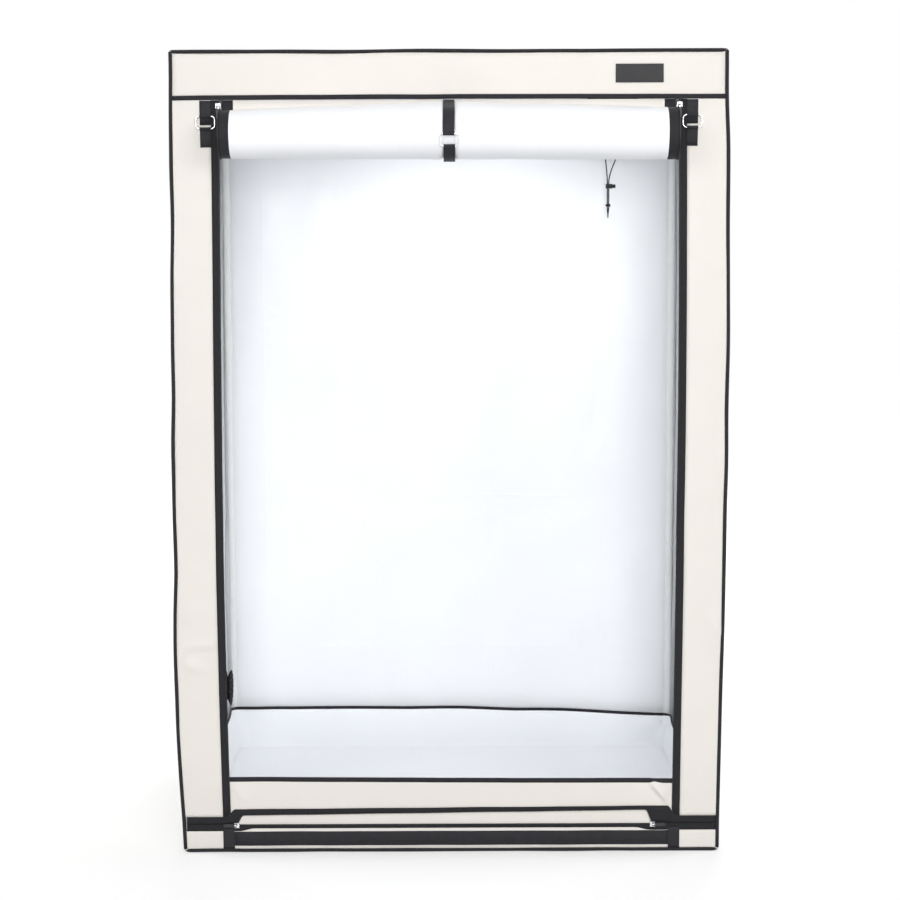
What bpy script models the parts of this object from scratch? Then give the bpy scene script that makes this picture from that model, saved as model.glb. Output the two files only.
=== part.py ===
# Indoor grow tent: a fabric cover with black bindings on a steel tube frame, its front door rolled up.
# Metres. X is the width, Y the depth with the door at -Y, and Z points up from the underside of the floor.

from math import acos, atan2, cos, pi, radians, sin, sqrt

import bmesh
import bpy
from mathutils import Matrix, Vector

# Cover
WIDTH = 1.205
DEPTH = 0.905
HEIGHT = 1.785
FABRIC = 0.0015
GAP = 0.0003
PIPING_RADIUS = 0.0043
PIPING_CORNER = 0.0050

# Header over the door, with its hem
HEADER_HEIGHT = 0.094
HEM_HEIGHT = 0.010
HEM_THICKNESS = 0.0015

# Columns beside the doorway, and their zips
COLUMN_WIDTH = 0.0865
ZIP_TAPE_WIDTH = 0.0175
CHAIN_RADIUS = 0.0012
ZIP_TOP_MARGIN = 0.012

# Zip along the base, open between its two sliders
BASE_PANEL_TOP = 0.0487
BASE_TAPE_WIDTH = 0.0155
CLOSED_TAPE_SPACING = 0.003
RAISED_TAPE_RISE = 0.028
RAISED_TAPE_WIDTH = 0.008
TAPE_SLOPE = 0.030
TAPE_FORK = 0.004
LEFT_SLIDER_FROM_SIDE = 0.1175
RIGHT_SLIDER_FROM_SIDE = 0.1477

# Sill behind the base zip, and the bands on the base
SILL_TOP = 0.169
SILL_HEM_HEIGHT = 0.009
SILL_HEM_THICKNESS = 0.0025
SILL_DEPTH_BELOW_ZIP = 0.019
GRIP_BAND_LOW = 0.0155
GRIP_BAND_HEIGHT = 0.033
BAND_THICKNESS = 0.0015
BASE_STRAP_WIDTH = 0.026

# Zip sliders and their pulls
SLIDER_WIDTH = 0.011
SLIDER_LENGTH = 0.011
SLIDER_PLATE = 0.0012
BRIDGE_RADIUS = 0.0008
BRIDGE_HALF_SPAN = 0.0040
PULL_WIDTH = 0.008
PULL_LENGTH = 0.030
PULL_THICKNESS = 0.0014
PULL_WINDOW_WIDTH = 0.0044
PULL_CORNER = 0.0020
SLIDER_CHANNEL_PLAY = 0.0004

# Rolled-up door
ROLL_RADIUS = 0.055
ROLL_CORE_RADIUS = 0.012
ROLL_TURNS = 6.75
ROLL_STEPS_PER_TURN = 16
ROLL_BELOW_HEADER = 0.073
ROLL_SIDE_CLEARANCE = 0.0065

# Webbing straps and oval rings
STRAP_WIDTH = 0.0248
STRAP_THICKNESS = 0.0015
RING_WIRE_RADIUS = 0.0016
RING_WIDTH = 0.0408
RING_HEIGHT = 0.0268
RING_CORNER = 0.0078
RING_BELOW_FRONT = radians(18)
STRAP_LOOP_TURN = radians(250)
SIDE_STRAP_LENGTH = 0.034
SIDE_TAB_LENGTH = 0.040
SIDE_STRAP_CLEARANCE = 0.0006

# Frame tubes and corner fittings
TUBE_RADIUS = 0.0095
TUBE_WALL = 0.001
FRAME_INSET = 0.0172
HUB_HALF = 0.0115
HUB_BEVEL = 0.002
SHOULDER_RADIUS = 0.0090
SHOULDER_LENGTH = 0.030
STUB_LENGTH = 0.040
UPRIGHT_JOINT_HEIGHT = 0.900
JOINT_GROOVE = 0.0004
TUBE_STEPS = 12

# Hanging bars, which hook over the side rails
BAR_RADIUS = 0.008
BAR_FROM_MIDDLE = 0.150
CLIP_THICKNESS = 0.0015
CLIP_TONGUE = 0.030
CLIP_STEP = 0.003

# Duct ports with drawn-in sleeves
PORT_RADIUS = 0.080
BACK_SLEEVE_LENGTH = 0.080
LEFT_SLEEVE_LENGTH = 0.058
SLEEVE_FLANGE = 0.010
BACK_PORT_FROM_SIDE = 0.1725
BACK_PORT_FROM_TOP = 0.110
LEFT_PORT_Y = 0.000
LEFT_PORT_Z = 0.272
SLEEVE_STEPS = 20
WIRE_STEPS = 2
# Distance from the wall and radius, as shares of the sleeve's length and of the port's radius
SLEEVE_OUTER_SHARES = ((0.25, 0.97), (0.52, 0.84), (0.70, 0.61), (0.80, 0.36), (0.86, 0.36), (0.94, 0.50),
                       (1.00, 0.56), (0.98, 0.38))
SLEEVE_INNER_SHARES = ((0.62, 0.50), (0.49, 0.80), (0.24, 0.93))
SLEEVE_TIP_SHARE = 0.93
SLEEVE_END_SHARE = 0.68

# Drawcord on the back port's sleeve, with its lock
CORD_RADIUS = 0.0015
LOCK_RADIUS = 0.0060
LOCK_LENGTH = 0.017
LOCK_SLOT_FROM_END = 0.0060
LOCK_BORE_DEPTH = 0.0055
LOCK_WALL = 0.0011
BUTTON_LENGTH = 0.010
BUTTON_DEPTH = 0.0020
BUTTON_CLEARANCE = 0.0002
CORD_STEPS_PER_SPAN = 3
# Route of the cord, as places beside the port's middle, in front of the back panel, and below the middle:
# out of the sleeve's neck, down through the lock, round, and back up
CORD_ROUTE = ((-0.0252, 0.0665, 0.0163), (-0.0256, 0.0665, 0.0400), (-0.0250, 0.0667, 0.0690),
              (-0.0234, 0.0669, 0.0970), (-0.0208, 0.0670, 0.1250), (-0.0187, 0.0670, 0.1500),
              (-0.0183, 0.0670, 0.1730), (-0.0183, 0.0670, 0.1950), (-0.0183, 0.0670, 0.2110),
              (-0.0183, 0.0670, 0.2230), (-0.0178, 0.0695, 0.2330), (-0.0171, 0.0728, 0.2420),
              (-0.0165, 0.0670, 0.2488), (-0.0159, 0.0612, 0.2420), (-0.0152, 0.0645, 0.2330),
              (-0.0147, 0.0670, 0.2230), (-0.0147, 0.0670, 0.2110), (-0.0147, 0.0670, 0.1950),
              (-0.0147, 0.0670, 0.1730), (-0.0142, 0.0670, 0.1500), (-0.0078, 0.0670, 0.1250),
              (0.0036, 0.0669, 0.0970), (0.0150, 0.0667, 0.0690), (0.0228, 0.0665, 0.0400),
              (0.0252, 0.0665, 0.0163))
LOCK_ON_ROUTE = (-0.0165, 0.0670, 0.1680)
STRANDS_APART = 0.0036

# Spill tray
TRAY_HEIGHT = 0.120
TRAY_FABRIC = 0.0015
TRAY_CLEARANCE = 0.0006
TRAY_RIM_CLEARANCE = 0.0075
TRAY_HEM_HEIGHT = 0.008
TRAY_HEM_OVERLAP = 0.0003

# Places worked out from the sizes
PLANE_X = WIDTH / 2 - FABRIC / 2
PLANE_Y = DEPTH / 2 - FABRIC / 2
PLANE_TOP = HEIGHT - FABRIC / 2
PIPING_EDGE = PIPING_RADIUS + GAP
PANEL_LOW = 2 * PIPING_RADIUS + GAP
PANEL_TOP = PLANE_TOP - PIPING_EDGE
FRONT = -DEPTH / 2
HEADER_LOW = HEIGHT - HEADER_HEIGHT
HEM_LOW = HEADER_LOW - GAP - HEM_HEIGHT
FRONT_TOP = HEM_LOW - GAP
DOORWAY_HALF = WIDTH / 2 - COLUMN_WIDTH - ZIP_TAPE_WIDTH
LEFT_BASE_SLIDER_X = LEFT_SLIDER_FROM_SIDE - WIDTH / 2
RIGHT_BASE_SLIDER_X = WIDTH / 2 - RIGHT_SLIDER_FROM_SIDE
ROLL_HALF_LENGTH = DOORWAY_HALF - ROLL_SIDE_CLEARANCE
COLUMN_INNER = DOORWAY_HALF + ZIP_TAPE_WIDTH + GAP
LOWER_TAPE_LOW = BASE_PANEL_TOP + GAP
LOWER_TAPE_TOP = LOWER_TAPE_LOW + BASE_TAPE_WIDTH
UPPER_TAPE_LOW = LOWER_TAPE_TOP + CLOSED_TAPE_SPACING
UPPER_TAPE_TOP = UPPER_TAPE_LOW + BASE_TAPE_WIDTH
COLUMN_LOW = UPPER_TAPE_TOP + GAP
CHAIN_X = DOORWAY_HALF + CHAIN_RADIUS + GAP
CHAIN_Y = FRONT - CHAIN_RADIUS / 2
BASE_CHAIN_Z = LOWER_TAPE_TOP - CHAIN_RADIUS - GAP
SILL_FRONT = FRONT + FABRIC + GAP
FRAME_X = WIDTH / 2 - FRAME_INSET
FRAME_Y = DEPTH / 2 - FRAME_INSET
FRAME_LOW = FABRIC + GAP + HUB_HALF
FRAME_TOP = HEIGHT - FABRIC - GAP - HUB_HALF
SHOULDER_END = SHOULDER_LENGTH + GAP
CHANNEL_TOP = FABRIC / 2 + FRONT - CHAIN_Y + CHAIN_RADIUS + GAP
SLIDER_TOP = CHANNEL_TOP + SLIDER_PLATE
PIVOT_RISE = GAP + PULL_THICKNESS * sqrt(2) / 2
PIVOT_OUT = SLIDER_TOP + PIVOT_RISE
SLIDER_Z = FRONT_TOP - ZIP_TOP_MARGIN
LOOP_RADIUS = RING_WIRE_RADIUS + GAP + STRAP_THICKNESS / 2
RING_HALF_WIDTH = RING_WIDTH / 2 + RING_WIRE_RADIUS
SIDE_STRAP_X = CHAIN_X + SLIDER_WIDTH / 2 + SIDE_STRAP_CLEARANCE + RING_HALF_WIDTH
STRAP_PLANE = FRONT - GAP - STRAP_THICKNESS / 2
STRAP_TOP = FRONT_TOP - STRAP_THICKNESS / 2
RING_BAR_Y = STRAP_PLANE - LOOP_RADIUS
RING_BAR_Z = FRONT_TOP - SIDE_STRAP_LENGTH
ROLL_CENTRE = Vector((FRONT + FABRIC - ROLL_RADIUS, HEM_LOW - ROLL_BELOW_HEADER))
ROLL_STRAP_RADIUS = ROLL_RADIUS + GAP + STRAP_THICKNESS / 2
TRAY_HALF_X = FRAME_X - HUB_HALF - TRAY_CLEARANCE
TRAY_HALF_Y = FRAME_Y - HUB_HALF - TRAY_CLEARANCE
TRAY_LOW = FABRIC + GAP
TRAY_BEND = FRAME_LOW + HUB_HALF + TRAY_CLEARANCE
TRAY_FLARE = PLANE_X - FABRIC / 2 - TRAY_RIM_CLEARANCE - TRAY_HALF_X
BACK_INSIDE = PLANE_Y - FABRIC / 2
BACK_PORT_X = WIDTH / 2 - BACK_PORT_FROM_SIDE
BACK_PORT_Z = HEIGHT - BACK_PORT_FROM_TOP

# Distance within which a mesh's points are joined
WELD_DISTANCE = 0.00001

# Turns that stand a flat outline up: facing the door, or facing sideways
FACE_FRONT = (pi / 2, 0, 0)
FACE_SIDE = (pi / 2, 0, pi / 2)

PARTS = bpy.data.collections.new("indoor_grow_tent")
CUTTERS = bpy.data.collections.new("cutters")


# Materials and objects

def finish(name, colour, roughness, metallic=0):
    """Make a plain material from a colour, a roughness and a metallic value."""
    material = bpy.data.materials.new(name)
    material.use_nodes = True
    shader = material.node_tree.nodes["Principled BSDF"]
    shader.inputs["Base Color"].default_value = (*colour, 1)
    shader.inputs["Roughness"].default_value = roughness
    shader.inputs["Metallic"].default_value = metallic
    material.diffuse_color = (*colour, 1)
    return material


def outer_cloth(name):
    return finish(name, (0.86, 0.83, 0.77), 0.85)


def inner_cloth(name):
    return finish(name, (0.86, 0.88, 0.90), 0.45)


def black_cloth(name):
    return finish(name, (0.028, 0.027, 0.032), 0.8)


def white_steel(name):
    return finish(name, (0.82, 0.83, 0.84), 0.3, 0.2)


def chrome(name):
    return finish(name, (0.75, 0.75, 0.76), 0.15, 1)


def black_plastic(name):
    return finish(name, (0.02, 0.02, 0.022), 0.45)


def place(name, data, material, location=(0, 0, 0), turn=(0, 0, 0), parent=None):
    """Put a mesh or curve into the parts collection as a named object."""
    part = bpy.data.objects.new(name, data)
    part.data.materials.clear()
    part.data.materials.append(material(name + "_finish"))
    part.location = location
    part.rotation_euler = turn
    part.parent = parent
    PARTS.objects.link(part)
    return part


def joint_empty(name, location, parent=None):
    """An empty on a joint's axis, which carries the moving pieces."""
    empty = bpy.data.objects.new(name, None)
    empty.location = location
    empty.parent = parent
    empty.empty_display_size = PULL_LENGTH
    PARTS.objects.link(empty)
    return empty


# Shapes

def box_mesh(size):
    """A box centred on zero."""
    shape = bmesh.new()
    bmesh.ops.create_cube(shape, size=1, matrix=Matrix.Diagonal((*size, 1)))
    mesh = bpy.data.meshes.new("box")
    shape.to_mesh(mesh)
    shape.free()
    return mesh


def block(name, low, high, material):
    """A box between two corners."""
    low, high = Vector(low), Vector(high)
    return place(name, box_mesh(high - low), material, (low + high) / 2)


def outline_curve(name, outlines, thickness):
    """A flat filled curve from one outline or several, where an inner outline is a hole."""
    curve = bpy.data.curves.new(name, "CURVE")
    curve.dimensions = "2D"
    curve.fill_mode = "BOTH"
    curve.extrude = thickness / 2
    for outline in outlines:
        spline = curve.splines.new("POLY")
        spline.points.add(len(outline) - 1)
        for point, (across, up) in zip(spline.points, outline):
            point.co = (across, up, 0, 1)
        spline.use_cyclic_u = True
    return curve


def wire_curve(name, paths, radius, closed=False):
    """Round tubes with filled ends, one along each path."""
    curve = bpy.data.curves.new(name, "CURVE")
    curve.dimensions = "3D"
    curve.bevel_depth = radius
    curve.bevel_resolution = WIRE_STEPS
    curve.use_fill_caps = True
    for path in paths:
        spline = curve.splines.new("POLY")
        spline.points.add(len(path) - 1)
        for point, place_on_path in zip(spline.points, path):
            point.co = (*place_on_path, 1)
        spline.use_cyclic_u = closed
    return curve


def rectangle(low, high):
    """Four corners of a flat rectangle."""
    return [Vector(low), Vector((high[0], low[1])), Vector(high), Vector((low[0], high[1]))]


def arc(centre, radius, start, end, steps):
    """Points on a flat arc, both ends included."""
    angles = [start + (end - start) * step / steps for step in range(steps + 1)]
    return [Vector(centre) + radius * Vector((cos(angle), sin(angle))) for angle in angles]


def mirrored_outline(half):
    """A whole outline from its right half."""
    return [Vector(point) for point in half] + [Vector((-x, z)) for x, z in reversed(half)]


def circle(centre, radius, steps=32):
    """Points on a flat circle."""
    return arc(centre, radius, 0, 2 * pi, steps)[:-1]


def rounded_rectangle(width, height, corner, steps=4):
    """Points round a rectangle with rounded corners, centred on zero."""
    across, up = width / 2 - corner, height / 2 - corner
    corners = ((across, up, 0), (-across, up, pi / 2), (-across, -up, pi), (across, -up, 3 * pi / 2))
    points = []
    for x, y, start in corners:
        points += arc((x, y), corner, start, start + pi / 2, steps)
    return points


def strip_outline(path, thickness):
    """Closed outline of a strip of even thickness along a flat path."""
    left, right = [], []
    for index, point in enumerate(path):
        before = path[max(index - 1, 0)]
        after = path[min(index + 1, len(path) - 1)]
        along = (after - before).normalized()
        across = Vector((-along.y, along.x)) * thickness / 2
        left.append(point + across)
        right.append(point - across)
    return left + right[::-1]


def smooth_route(points, steps):
    """Points on a smooth curve through a cord's own points."""
    points = [Vector(point) for point in points]
    padded = [2 * points[0] - points[1], *points, 2 * points[-1] - points[-2]]
    route = []
    for before, start, end, after in zip(padded, padded[1:], padded[2:], padded[3:]):
        for step in range(steps):
            share = step / steps
            route.append(0.5 * (2 * start + (end - before) * share
                                + (2 * before - 5 * start + 4 * end - after) * share ** 2
                                + (3 * start - before - 3 * end + after) * share ** 3))
    return [*route, points[-1]]


def evaluated_mesh(source):
    """Mesh of an object with its modifiers applied, after which the object is removed."""
    bpy.context.view_layer.update()
    mesh = bpy.data.meshes.new_from_object(source.evaluated_get(bpy.context.evaluated_depsgraph_get()))
    bpy.data.objects.remove(source)
    cleaner = bmesh.new()
    cleaner.from_mesh(mesh)
    bmesh.ops.remove_doubles(cleaner, verts=cleaner.verts, dist=WELD_DISTANCE)
    bmesh.ops.recalc_face_normals(cleaner, faces=cleaner.faces)
    cleaner.to_mesh(mesh)
    cleaner.free()
    return mesh


def scratch_object(data):
    """An unnamed helper object in the cutters collection."""
    helper = bpy.data.objects.new("helper", data)
    CUTTERS.objects.link(helper)
    return helper


def turned_mesh(profile, steps, closed=False):
    """A profile of radius and height points turned round the Z axis."""
    mesh = bpy.data.meshes.new("profile")
    edges = [(index, index + 1) for index in range(len(profile) - 1)]
    if closed:
        edges.append((len(profile) - 1, 0))
    mesh.from_pydata([(radius, 0, height) for radius, height in profile], edges, [])
    helper = scratch_object(mesh)
    screw = helper.modifiers.new("Turn", "SCREW")
    screw.angle = 2 * pi
    screw.steps = steps
    screw.render_steps = steps
    screw.use_merge_vertices = True
    screw.merge_threshold = WELD_DISTANCE
    return evaluated_mesh(helper)


def union_mesh(meshes):
    """One closed mesh from several that overlap."""
    base = scratch_object(meshes[0])
    others = [scratch_object(mesh) for mesh in meshes[1:]]
    for other in others:
        joining = base.modifiers.new("Join", "BOOLEAN")
        joining.operation = "UNION"
        joining.object = other
    mesh = evaluated_mesh(base)
    for other in others:
        bpy.data.objects.remove(other)
    return mesh


def moved_copy(mesh, matrix):
    """A copy of a mesh moved by a matrix, turned outward again where the matrix mirrors."""
    copy = mesh.copy()
    copy.transform(matrix)
    if matrix.determinant() < 0:
        copy.flip_normals()
    return copy


def shade_round(part):
    """Smooth shading with the sharp edges kept."""
    part.data.shade_smooth()
    part.data.set_sharp_from_angle(angle=radians(40))
    return part


# Frame

def tube_mesh(length, radius, bore):
    """A hollow tube from zero up along Z."""
    return turned_mesh([(bore, 0), (radius, 0), (radius, length), (bore, length)], TUBE_STEPS, closed=True)


def upright_mesh(length, joint):
    """An upright in two lengths, pushed together at a fine groove."""
    bore = TUBE_RADIUS - TUBE_WALL
    waist = TUBE_RADIUS - JOINT_GROOVE
    profile = [(bore, 0), (TUBE_RADIUS, 0), (TUBE_RADIUS, joint - JOINT_GROOVE), (waist, joint),
               (TUBE_RADIUS, joint + JOINT_GROOVE), (TUBE_RADIUS, length), (bore, length)]
    return turned_mesh(profile, TUBE_STEPS, closed=True)


def along_x(x, y, z):
    """Matrix that lays a Z-long mesh along +X from a point."""
    return Matrix.Translation((x, y, z)) @ Matrix.Rotation(pi / 2, 4, "Y")


def along_y(x, y, z):
    """Matrix that lays a Z-long mesh along +Y from a point."""
    return Matrix.Translation((x, y, z)) @ Matrix.Rotation(-pi / 2, 4, "X")


def corner_signs():
    """The four corners of the plan, as signs of X and Y."""
    return [(side, face) for face in (-1, 1) for side in (-1, 1)]


def corner_name(side, face):
    """Name of a corner of the plan."""
    return ("front" if face < 0 else "back") + ("_left" if side < 0 else "_right")


def corner_fitting_mesh():
    """A three-way corner: a bevelled hub with stubs toward +X, +Y and +Z, each behind a shoulder."""
    hub = bmesh.new()
    bmesh.ops.create_cube(hub, size=2 * HUB_HALF)
    bmesh.ops.bevel(hub, geom=hub.edges, offset=HUB_BEVEL, segments=1, affect="EDGES", profile=0.5,
                    material=-1)
    mesh = bpy.data.meshes.new("hub")
    hub.to_mesh(mesh)
    hub.free()
    root, end = HUB_HALF - HUB_BEVEL / 2, SHOULDER_LENGTH + STUB_LENGTH
    stub = TUBE_RADIUS - TUBE_WALL - GAP
    leg = turned_mesh([(0, root), (SHOULDER_RADIUS, root), (SHOULDER_RADIUS, SHOULDER_LENGTH),
                       (stub, SHOULDER_LENGTH), (stub, end), (0, end)], TUBE_STEPS)
    return union_mesh([mesh, moved_copy(leg, along_x(0, 0, 0)), moved_copy(leg, along_y(0, 0, 0)), leg])


def build_frame():
    """Corner fittings, rails round the base and the top, and four uprights."""
    fitting = corner_fitting_mesh()
    bore = TUBE_RADIUS - TUBE_WALL
    half_x, half_y = FRAME_X - SHOULDER_END, FRAME_Y - SHOULDER_END
    across = moved_copy(tube_mesh(2 * half_x, TUBE_RADIUS, bore), along_x(-half_x, 0, 0))
    deep = moved_copy(tube_mesh(2 * half_y, TUBE_RADIUS, bore), along_y(0, -half_y, 0))
    for level, z, up in (("base", FRAME_LOW, 1), ("top", FRAME_TOP, -1)):
        for name, face in (("front", -1), ("back", 1)):
            shade_round(place(f"{level}_{name}_rail", across.copy(), white_steel, (0, face * FRAME_Y, z)))
        for name, side in (("left", -1), ("right", 1)):
            shade_round(place(f"{level}_{name}_rail", deep.copy(), white_steel, (side * FRAME_X, 0, z)))
        for side, face in corner_signs():
            corner = moved_copy(fitting, Matrix.Diagonal((-side, -face, up, 1)))
            shade_round(place(f"{level}_{corner_name(side, face)}_corner", corner, white_steel,
                              (side * FRAME_X, face * FRAME_Y, z)))
    low = FRAME_LOW + SHOULDER_END
    upright = upright_mesh(FRAME_TOP - SHOULDER_END - low, UPRIGHT_JOINT_HEIGHT - low)
    for side, face in corner_signs():
        shade_round(place(corner_name(side, face) + "_upright", upright.copy(), white_steel,
                          (side * FRAME_X, face * FRAME_Y, low)))


def clip_outline():
    """A clip seen along the rail: a tongue for the bar's end, then a hook over the rail."""
    reach = TUBE_RADIUS + GAP + CLIP_THICKNESS / 2
    tongue = [Vector((-reach - CLIP_STEP - CLIP_TONGUE, 0)), Vector((-reach - CLIP_STEP, 0))]
    return strip_outline(tongue + arc((0, 0), reach, radians(165), radians(-30), 14), CLIP_THICKNESS)


def build_hanging_bars():
    """Two bars across the top that carry lamps and filters, each with a hook at both ends."""
    clip_width = 2 * BAR_RADIUS - TUBE_WALL
    bar_half = FRAME_X - TUBE_RADIUS - 2 * GAP - CLIP_THICKNESS
    bar = moved_copy(tube_mesh(2 * bar_half, BAR_RADIUS, BAR_RADIUS - TUBE_WALL), along_x(-bar_half, 0, 0))
    clip = evaluated_mesh(scratch_object(outline_curve("clip", [clip_outline()], clip_width)))
    clip.transform(Matrix.Rotation(pi / 2, 4, "X"))
    clips = [moved_copy(clip, Matrix.Translation((side * FRAME_X, 0, 0)) @ Matrix.Diagonal((side, 1, 1, 1)))
             for side in (-1, 1)]
    mesh = union_mesh([bar, *clips])
    for name, y in (("front", -BAR_FROM_MIDDLE), ("back", BAR_FROM_MIDDLE)):
        shade_round(place(name + "_hanging_bar", mesh.copy(), white_steel, (0, y, FRAME_TOP)))


# Cover

def build_panels():
    """Floor, roof, back, sides, and the front round the doorway."""
    floor_edge = sqrt(PIPING_RADIUS ** 2 - (PIPING_RADIUS - FABRIC) ** 2) + GAP
    floor = rounded_rectangle(2 * (PLANE_X - floor_edge), 2 * (PLANE_Y - floor_edge),
                              PIPING_CORNER - floor_edge)
    place("floor_panel", outline_curve("floor_panel", [floor], FABRIC), inner_cloth, (0, 0, FABRIC / 2))
    edge_x, edge_y = PLANE_X - PIPING_EDGE, PLANE_Y - PIPING_EDGE
    block("roof_panel", (-edge_x, -edge_y, HEIGHT - FABRIC), (edge_x, edge_y, HEIGHT), outer_cloth)
    port_hole = PORT_RADIUS - FABRIC
    back = outline_curve("back_panel", [rectangle((-edge_x, PANEL_LOW), (edge_x, PANEL_TOP)),
                                        circle((BACK_PORT_X, BACK_PORT_Z), port_hole)], FABRIC)
    place("back_panel", back, outer_cloth, (0, PLANE_Y, 0), FACE_FRONT)
    side = rectangle((-edge_y, PANEL_LOW), (edge_y, PANEL_TOP))
    left = outline_curve("left_panel", [side, circle((LEFT_PORT_Y, LEFT_PORT_Z), port_hole)], FABRIC)
    place("left_panel", left, outer_cloth, (-PLANE_X, 0, 0), FACE_SIDE)
    block("right_panel", (PLANE_X - FABRIC / 2, -edge_y, PANEL_LOW),
          (PLANE_X + FABRIC / 2, edge_y, PANEL_TOP), outer_cloth)
    half_front = [(COLUMN_INNER, HEM_LOW), (COLUMN_INNER, COLUMN_LOW), (edge_x, COLUMN_LOW),
                  (edge_x, PANEL_TOP)]
    front = outline_curve("front_panel", [mirrored_outline(half_front)], FABRIC)
    place("front_panel", front, outer_cloth, (0, FRONT + FABRIC / 2, 0), FACE_FRONT)
    block("base_panel", (-edge_x, FRONT, PANEL_LOW), (edge_x, FRONT + FABRIC, BASE_PANEL_TOP), outer_cloth)


def piping_loop(height):
    """A closed run of piping round the plan of the cover."""
    corners = rounded_rectangle(2 * PLANE_X, 2 * PLANE_Y, PIPING_CORNER, 3)
    path = [(point.x, point.y, height) for point in corners]
    return wire_curve("piping", [path], PIPING_RADIUS, closed=True)


def build_binding():
    """Round black piping: a loop at the base, and one on top that runs down the corners, with the hem."""
    place("bottom_piping", piping_loop(PIPING_RADIUS), black_cloth)
    solids = [evaluated_mesh(scratch_object(piping_loop(PLANE_TOP)))]
    for side, face in corner_signs():
        x, y = side * PLANE_X, face * PLANE_Y
        path = [(x, y, PANEL_LOW), (x, y, PLANE_TOP)]
        solids.append(evaluated_mesh(scratch_object(wire_curve("piping", [path], PIPING_RADIUS))))
    hem = box_mesh(Vector((2 * PLANE_X, HEM_THICKNESS, HEM_HEIGHT)))
    hem.transform(Matrix.Translation((0, FRONT - GAP - HEM_THICKNESS / 2, HEM_LOW + HEM_HEIGHT / 2)))
    shade_round(place("cover_binding", union_mesh([*solids, hem]), black_cloth))


def build_sill():
    """The sill flap behind the base zip, thicker at its hem, and the band across the base panel."""
    half = DOORWAY_HALF + ZIP_TAPE_WIDTH - GAP
    hem_low, low = SILL_TOP - SILL_HEM_HEIGHT, BASE_PANEL_TOP - SILL_DEPTH_BELOW_ZIP
    front, back, hem_back = SILL_FRONT, SILL_FRONT + FABRIC, SILL_FRONT + SILL_HEM_THICKNESS
    section = [Vector(point) for point in (
        (front, low), (back, low), (back, hem_low), (hem_back, hem_low), (hem_back, SILL_TOP),
        (front, SILL_TOP))]
    place("sill_panel", outline_curve("sill_panel", [section], 2 * half), outer_cloth, turn=FACE_SIDE)
    outer = DOORWAY_HALF + ZIP_TAPE_WIDTH
    inner = outer - BASE_STRAP_WIDTH
    half_band = [(inner, GRIP_BAND_LOW), (inner, PANEL_LOW), (outer, PANEL_LOW), (outer, BASE_PANEL_TOP),
                 (inner, BASE_PANEL_TOP), (inner, GRIP_BAND_LOW + GRIP_BAND_HEIGHT)]
    band = outline_curve("grip_band", [mirrored_outline(half_band)], BAND_THICKNESS)
    place("grip_band", band, black_cloth, (0, FRONT - GAP - BAND_THICKNESS / 2, 0), FACE_FRONT)


# Zips

def chained_tape(tape, start, end):
    """A zip tape with its chain sunk into its front, between two points of the front plane."""
    path = [(start[0], CHAIN_Y, start[1]), (end[0], CHAIN_Y, end[1])]
    return union_mesh([tape, evaluated_mesh(scratch_object(wire_curve("chain", [path], CHAIN_RADIUS)))])


def build_zip_tapes():
    """Tapes with their chains: the columns' halves of the door zips, and the base zip, open midway."""
    plane = FRONT + FABRIC / 2
    low, high = COLUMN_LOW, FRONT_TOP
    for name, side in (("left", -1), ("right", 1)):
        tape = box_mesh(Vector((ZIP_TAPE_WIDTH, FABRIC, high - low)))
        middle = DOORWAY_HALF + ZIP_TAPE_WIDTH / 2
        tape.transform(Matrix.Translation((side * middle, plane, (low + high) / 2)))
        x = side * CHAIN_X
        mesh = chained_tape(tape, (x, low + GAP), (x, high - GAP))
        shade_round(place(name + "_door_zip_tape", mesh, black_cloth))
    edge = PLANE_X - PIPING_EDGE
    raised_low = UPPER_TAPE_LOW + RAISED_TAPE_RISE
    raised_top = raised_low + RAISED_TAPE_WIDTH
    left, right = LEFT_BASE_SLIDER_X - SLIDER_LENGTH / 2, RIGHT_BASE_SLIDER_X + SLIDER_LENGTH / 2
    outer = [Vector(point) for point in (
        (-edge, LOWER_TAPE_LOW), (edge, LOWER_TAPE_LOW), (edge, UPPER_TAPE_TOP), (right, UPPER_TAPE_TOP),
        (right - TAPE_SLOPE, raised_top), (left + TAPE_SLOPE, raised_top), (left, UPPER_TAPE_TOP),
        (-edge, UPPER_TAPE_TOP))]
    opening = [Vector(point) for point in (
        (left, LOWER_TAPE_TOP), (right, LOWER_TAPE_TOP), (right, LOWER_TAPE_TOP + TAPE_FORK),
        (right - TAPE_SLOPE, raised_low), (left + TAPE_SLOPE, raised_low),
        (left, LOWER_TAPE_TOP + TAPE_FORK))]
    tapes = evaluated_mesh(scratch_object(outline_curve("base_zip_tapes", [outer, opening], FABRIC)))
    tapes.transform(Matrix.Translation((0, plane, 0)) @ Matrix.Rotation(pi / 2, 4, "X"))
    mesh = chained_tape(tapes, (-edge + GAP, BASE_CHAIN_Z), (edge - GAP, BASE_CHAIN_Z))
    shade_round(place("base_zip_tapes", mesh, black_cloth))


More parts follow.
